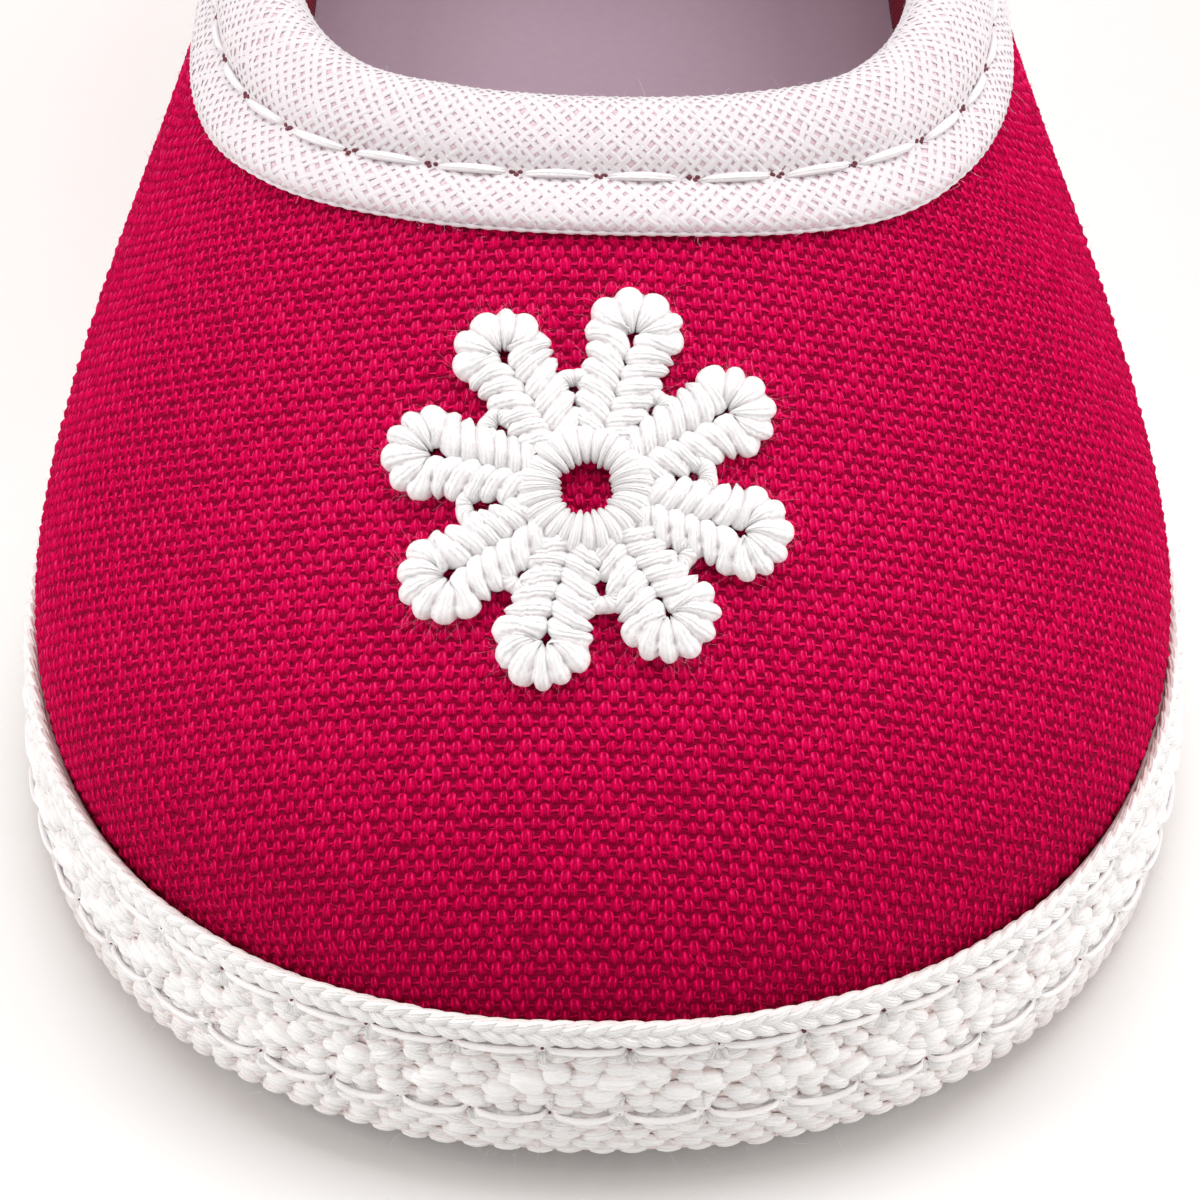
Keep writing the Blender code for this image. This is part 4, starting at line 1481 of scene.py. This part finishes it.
def smooth_path(controls, count):
    """count evenly spaced points on a smooth curve through the control points."""
    controls = np.asarray(controls)
    ends = 2 * controls[:1] - controls[1:2], 2 * controls[-1:] - controls[-2:-1]
    p = np.concatenate((ends[0], controls, ends[1]))
    t = np.linspace(0, 1, 24, endpoint=False)[None, :, None]
    a, b, c, d = p[:-3, None], p[1:-2, None], p[2:-1, None], p[3:, None]
    bend, twist = 2 * a - 5 * b + 4 * c - d, 3 * b - a - 3 * c + d
    curve = 0.5 * (2 * b + (c - a) * t + bend * t**2 + twist * t**3)
    curve = np.concatenate((curve.reshape(-1, 2), controls[-1:]))
    run = lengths_along(curve)
    even = np.linspace(0, run[-1], count)
    return np.stack([np.interp(even, run, curve[:, k]) for k in (0, 1)], 1)


def add_cord(piece, path, half_wide, cord, closed=False):
    """A wound cord along a path of the flower's plan. Its wraps puff out most at the petal's edge."""
    base, normals = on_vamp(path)
    steps = unit(np.roll(path, -1, 0) - np.roll(path, 1, 0) if closed else np.gradient(path, axis=0))
    sides = along_face(from_plan(to_the_right(steps)), normals)
    count = len(path)
    wraps = cord.wraps
    ends = running_sum(RANDOM.uniform(*WRAP_LENGTHS, wraps))
    share = np.arange(count) / (count if closed else count - 1)
    along = np.interp(share, ends / ends[-1], np.arange(wraps + 1))
    number = np.floor(along).astype(int) % wraps
    angle = circle(cord.rounds)
    across, high = np.cos(angle)[None], np.sin(angle)[None]
    side_of_tip = np.clip((along / wraps - 0.5) * 5, -1, 1)[:, None]
    slant = WRAP_SLANT * high + WRAP_TWIST * side_of_tip * across * (not closed)
    lobe = np.abs(np.sin(np.pi * (along[:, None] + slant))) ** 0.5
    bulge = cord.inner_bulge + (cord.outer_bulge - cord.inner_bulge) * np.clip(across, 0, 1)
    size = RANDOM.uniform(1 - cord.ragged, 1 + cord.ragged, wraps)[number][:, None]
    inside = smooth_step((PIT_COSINE - across) / PIT_WIDTH + 0.5)
    hollow = cord.pit * 4 * inside * (1 - inside) * (1.4 - lobe)
    full = size * (1 - bulge * (1 - lobe)) * (1 - hollow)
    half_wide = np.broadcast_to(half_wide, count)[:, None, None]
    half_high = np.minimum(CORD_HALF_HIGH, half_wide)
    points = (
        (base + normals * (CORD_HALF_HIGH * CORD_SIT + cord.rest))[:, None]
        + sides[:, None] * (across * full)[..., None] * half_wide
        + normals[:, None] * (high * full)[..., None] * half_high
    )
    own = RANDOM.uniform(0, 1, wraps)[number][:, None]
    places = thread_grid(across, along[:, None] + slant, own)
    if closed:
        points = np.concatenate((points, points[:1]))
        places = np.concatenate((places, places[:1] + (0, wraps, 0)))
    piece.add_grid(points, places, closed=True)


def petal_path(petal):
    """The path of a petal's cord: out along one side of the eyelet, round the tip and back."""
    eyelet = petal.reach - EYELET_BACK
    side = PETAL_ROOT + [PathPoint(eyelet + point.out, point.aside) for point in PETAL_EYELET]
    back = [PathPoint(point.out, -point.aside) for point in side[::-1]]
    out, aside = np.array([*side, PathPoint(eyelet + PETAL_TIP, 0.0), *back]).T
    return smooth_path(on_petal(petal, out, aside), PETAL_CORD.wraps * 9 + 1)


def bridge_path(first, second):
    """The path of the small arched cord between two petals."""
    start = math.radians(first.turn)
    end = math.radians(second.turn if second.turn > first.turn else second.turn + 360)
    middle = (start + end) / 2
    spots = [
        BRIDGE_ENDS * direction(start + BRIDGE_END_TURN),
        BRIDGE_TOP * direction(middle - BRIDGE_TOP_TURN),
        BRIDGE_TOP * direction(middle + BRIDGE_TOP_TURN),
        BRIDGE_ENDS * direction(end - BRIDGE_END_TURN),
    ]
    return smooth_path(spots[::-1], BRIDGE_CORD.wraps * 9 + 1)


def make_flower():
    piece = Piece("lace_flower", wrapped_lace())
    for petal in PETALS:
        path = petal_path(petal)
        swell = np.sin(np.pi * np.linspace(0, 1, len(path)))
        add_cord(piece, path, PETAL_ROOT_WIDE + (PETAL_TIP_WIDE - PETAL_ROOT_WIDE) * swell, PETAL_CORD)
    around = -circle(RING_CORD.wraps * 8)
    ring = np.stack((np.cos(around), np.sin(around)), 1) * RING_PATH
    add_cord(piece, ring, RING_HALF_WIDE, RING_CORD, closed=True)
    for first, second in zip(PETALS, PETALS[1:] + PETALS[:1]):
        add_cord(piece, bridge_path(first, second), BRIDGE_HALF_WIDE, BRIDGE_CORD)
    piece.make("flower")


def make_flower_hairs(hair):
    piece = Piece("flower_hairs", hair)
    for petal in PETALS:
        eyelet = petal.reach - EYELET_BACK
        turn = RANDOM.uniform(-HAIRS_TURN, HAIRS_TURN, HAIRS_PER_PETAL)
        at_tip = np.abs(turn) < np.pi / 2
        beside = RANDOM.uniform(HAIRS_FROM, eyelet, HAIRS_PER_PETAL)
        out = np.where(at_tip, eyelet + HAIRS_ROUND_TIP * np.cos(turn), beside)
        aside = np.where(at_tip, HAIRS_ROUND_TIP * np.sin(turn), np.sign(turn) * HAIRS_BESIDE)
        flat = on_petal(petal, out, -aside)
        away = unit(flat - on_petal(petal, eyelet * 0.8, 0.0))
        roots, normals = on_vamp(flat)
        add_hairs(piece, roots + normals * HAIRS_UP, unit(from_plan(away) + normals * 0.5), FLOWER_HAIR)
    piece.make(smooth=False)


# Sole and insole: rings drawn in from the outline to a spine along the middle

SPINE_FRONT = 24 * MM  # from the toe's tip
SPINE_BACK = 22 * MM  # from the heel's back
SOLE_INSET = 0.9 * MM
SOLE_EDGE = ((0.35 * MM, 0.12 * MM), (0.0, 0.5 * MM))  # in and up, round the lower edge

# Section of the insole's top: in from its edge, and down from its rim
RimPoint = namedtuple("RimPoint", "inward down")
INSOLE_TOP = millimetres(
    RimPoint,
    [
        (0.0, 0.5),
        (0.35, 0.1),
        (1.0, 0.0),
        (3.6, 0.0),
        (4.6, 0.05),
        (5.6, 0.28),
        (6.5, 0.62),
        (6.9, 0.64),
        (7.3, 0.80),
        (7.9, 0.74),
    ],
)
INSOLE_FLOOR_DOWN = 0.70 * MM
INSOLE_FLOOR_SHARES = (0.15, 0.35, 0.6, 0.8, 1.0)  # of the way to the spine


def sole_rings(section, steps=192):
    """Rings round the shoe, from rows of (in from the upper's face, up, share of the way to the spine)."""
    foot, outward = outline(np.linspace(-1, 1, steps, endpoint=False))
    spine = foot * (0, 1, 0)
    spine[:, 1] = np.clip(spine[:, 1], -LENGTH / 2 + SPINE_FRONT, LENGTH / 2 - SPINE_BACK)
    rings = []
    for inset, up, share in section:
        ring = foot - outward * inset
        ring = ring + (spine - ring) * share
        ring[:, 2] = up + sole_lift(ring[:, 1])
        rings.append(ring)
    return np.stack(rings)


def make_insole():
    cloth = mottled("lilac_lining_cloth", 1800, (0.505, 0.376, 0.468), (0.545, 0.407, 0.503), 0.5, 0.02 * MM)
    piece = Piece("insole_pad", cloth)
    low = SOLE_THICK + GAP
    edge = WALL + GAP
    section = [(edge, low, 0)]
    section += [(edge + point.inward, INSOLE_RIM - point.down, 0) for point in INSOLE_TOP]
    floor_from = edge + INSOLE_TOP[-1].inward
    section += [(floor_from, INSOLE_RIM - INSOLE_FLOOR_DOWN, share) for share in INSOLE_FLOOR_SHARES]
    piece.add_plain_rings(sole_rings(section))
    piece.add_plain_rings(sole_rings([(edge, low, share) for share in (1.0, 0.5, 0.0)]))
    obj = piece.make("insole", merge=0.02 * MM)


def make_outsole():
    felt = mottled("white_sole_felt", 1600, (0.62, 0.60, 0.585), (0.78, 0.765, 0.75), 0.85, 0.12 * MM, 0.3)
    piece = Piece("felt_sole", felt)
    section = [(SOLE_INSET, 0.0, share) for share in (1.0, 0.8, 0.5, 0.2, 0)]
    section += [(inset, up, 0) for inset, up in SOLE_EDGE]
    section += [(0.0, SOLE_THICK, share) for share in (0, 0.5, 1.0)]
    piece.add_plain_rings(sole_rings(section))
    piece.make("outsole", merge=0.02 * MM)


# Floor, light and camera

FLOOR_HALF = 3.0
FLOOR_UP = -0.05 * MM
LIGHTS_AIM = Vector((0, -0.02, 0.02))
ROOM_COLOUR = (1.0, 0.945, 0.91, 1)
ROOM_STRENGTH = 0.39

# size in metres, place in metres from the shoe's middle, power in watts
Softbox = namedtuple("Softbox", "name size place power")
SOFTBOXES = [
    Softbox("key_above", 0.70, (0.08, 0.20, 0.90), 6.1),
    Softbox("fill_front", 0.60, (0.0, -0.80, 0.56), 0.80),
    Softbox("left", 0.60, (-0.86, -0.08, 0.42), 4.7),
    Softbox("right", 0.60, (0.86, -0.08, 0.42), 4.3),
]


def make_floor():
    mesh = bpy.data.meshes.new("floor")
    corners = [(x * FLOOR_HALF, y * FLOOR_HALF, FLOOR_UP) for x, y in ((-1, -1), (1, -1), (1, 1), (-1, 1))]
    mesh.from_pydata(corners, [], [(0, 1, 2, 3)])
    paint = Finish("pale_floor", Roughness=0.9, Specular_IOR_Level=0.1)
    paint.colour(paint.noise(3), (0.3, (0.82, 0.805, 0.795)), (0.7, (0.84, 0.825, 0.815)))
    mesh.materials.append(paint.material)
    floor = placed("floor", mesh)


def make_lights():
    for box in SOFTBOXES:
        light = bpy.data.lights.new(box.name, "AREA")
        light.size = box.size
        light.energy = box.power
        obj = placed(box.name, light)
        obj.location = box.place
        obj.rotation_euler = (LIGHTS_AIM - Vector(box.place)).to_track_quat("-Z", "Y").to_euler()
    world = bpy.data.worlds.new("white_room")
    world.use_nodes = True
    background = world.node_tree.nodes["Background"]
    background.inputs["Color"].default_value = ROOM_COLOUR
    background.inputs["Strength"].default_value = ROOM_STRENGTH
    bpy.context.scene.world = world
    bpy.context.scene.view_settings.view_transform = "Standard"


def make_camera():
    data = bpy.data.cameras.new("camera")
    data.lens = CAMERA_LENS
    data.sensor_width = CAMERA_SENSOR
    data.clip_start = 0.01
    camera = placed("camera", data)
    back = Vector((0, -math.cos(CAMERA_ELEVATION), math.sin(CAMERA_ELEVATION)))
    camera.location = CAMERA_TARGET + back * CAMERA_DISTANCE
    camera.rotation_euler = (math.pi / 2 - CAMERA_ELEVATION, 0, 0)
    bpy.context.scene.camera = camera


make_camera()
make_upper()
make_beads()
# The band's floats are darkened towards the floor with painted shade.
braid_yarn = white_yarn("braid_floats", (0.84, 0.74, 0.72), (0.985, 0.98, 0.975), 16.0, 0.04 * MM, foot=0.50)
loose_fibres = fuzz("white_fuzz", (0.88, 0.85, 0.86), (0.96, 0.95, 0.95))
make_band_base()
make_band_floats(braid_yarn)
make_plait(braid_yarn)
make_band_stitches()
make_band_hairs(loose_fibres)
make_tape()
make_yarns()
make_tape_stitches()
make_tape_hairs(loose_fibres)
make_flower()
make_flower_hairs(fuzz("lace_fuzz", (0.92, 0.16, 0.34), (0.98, 0.46, 0.60)))
make_insole()
make_outsole()
make_floor()
make_lights()
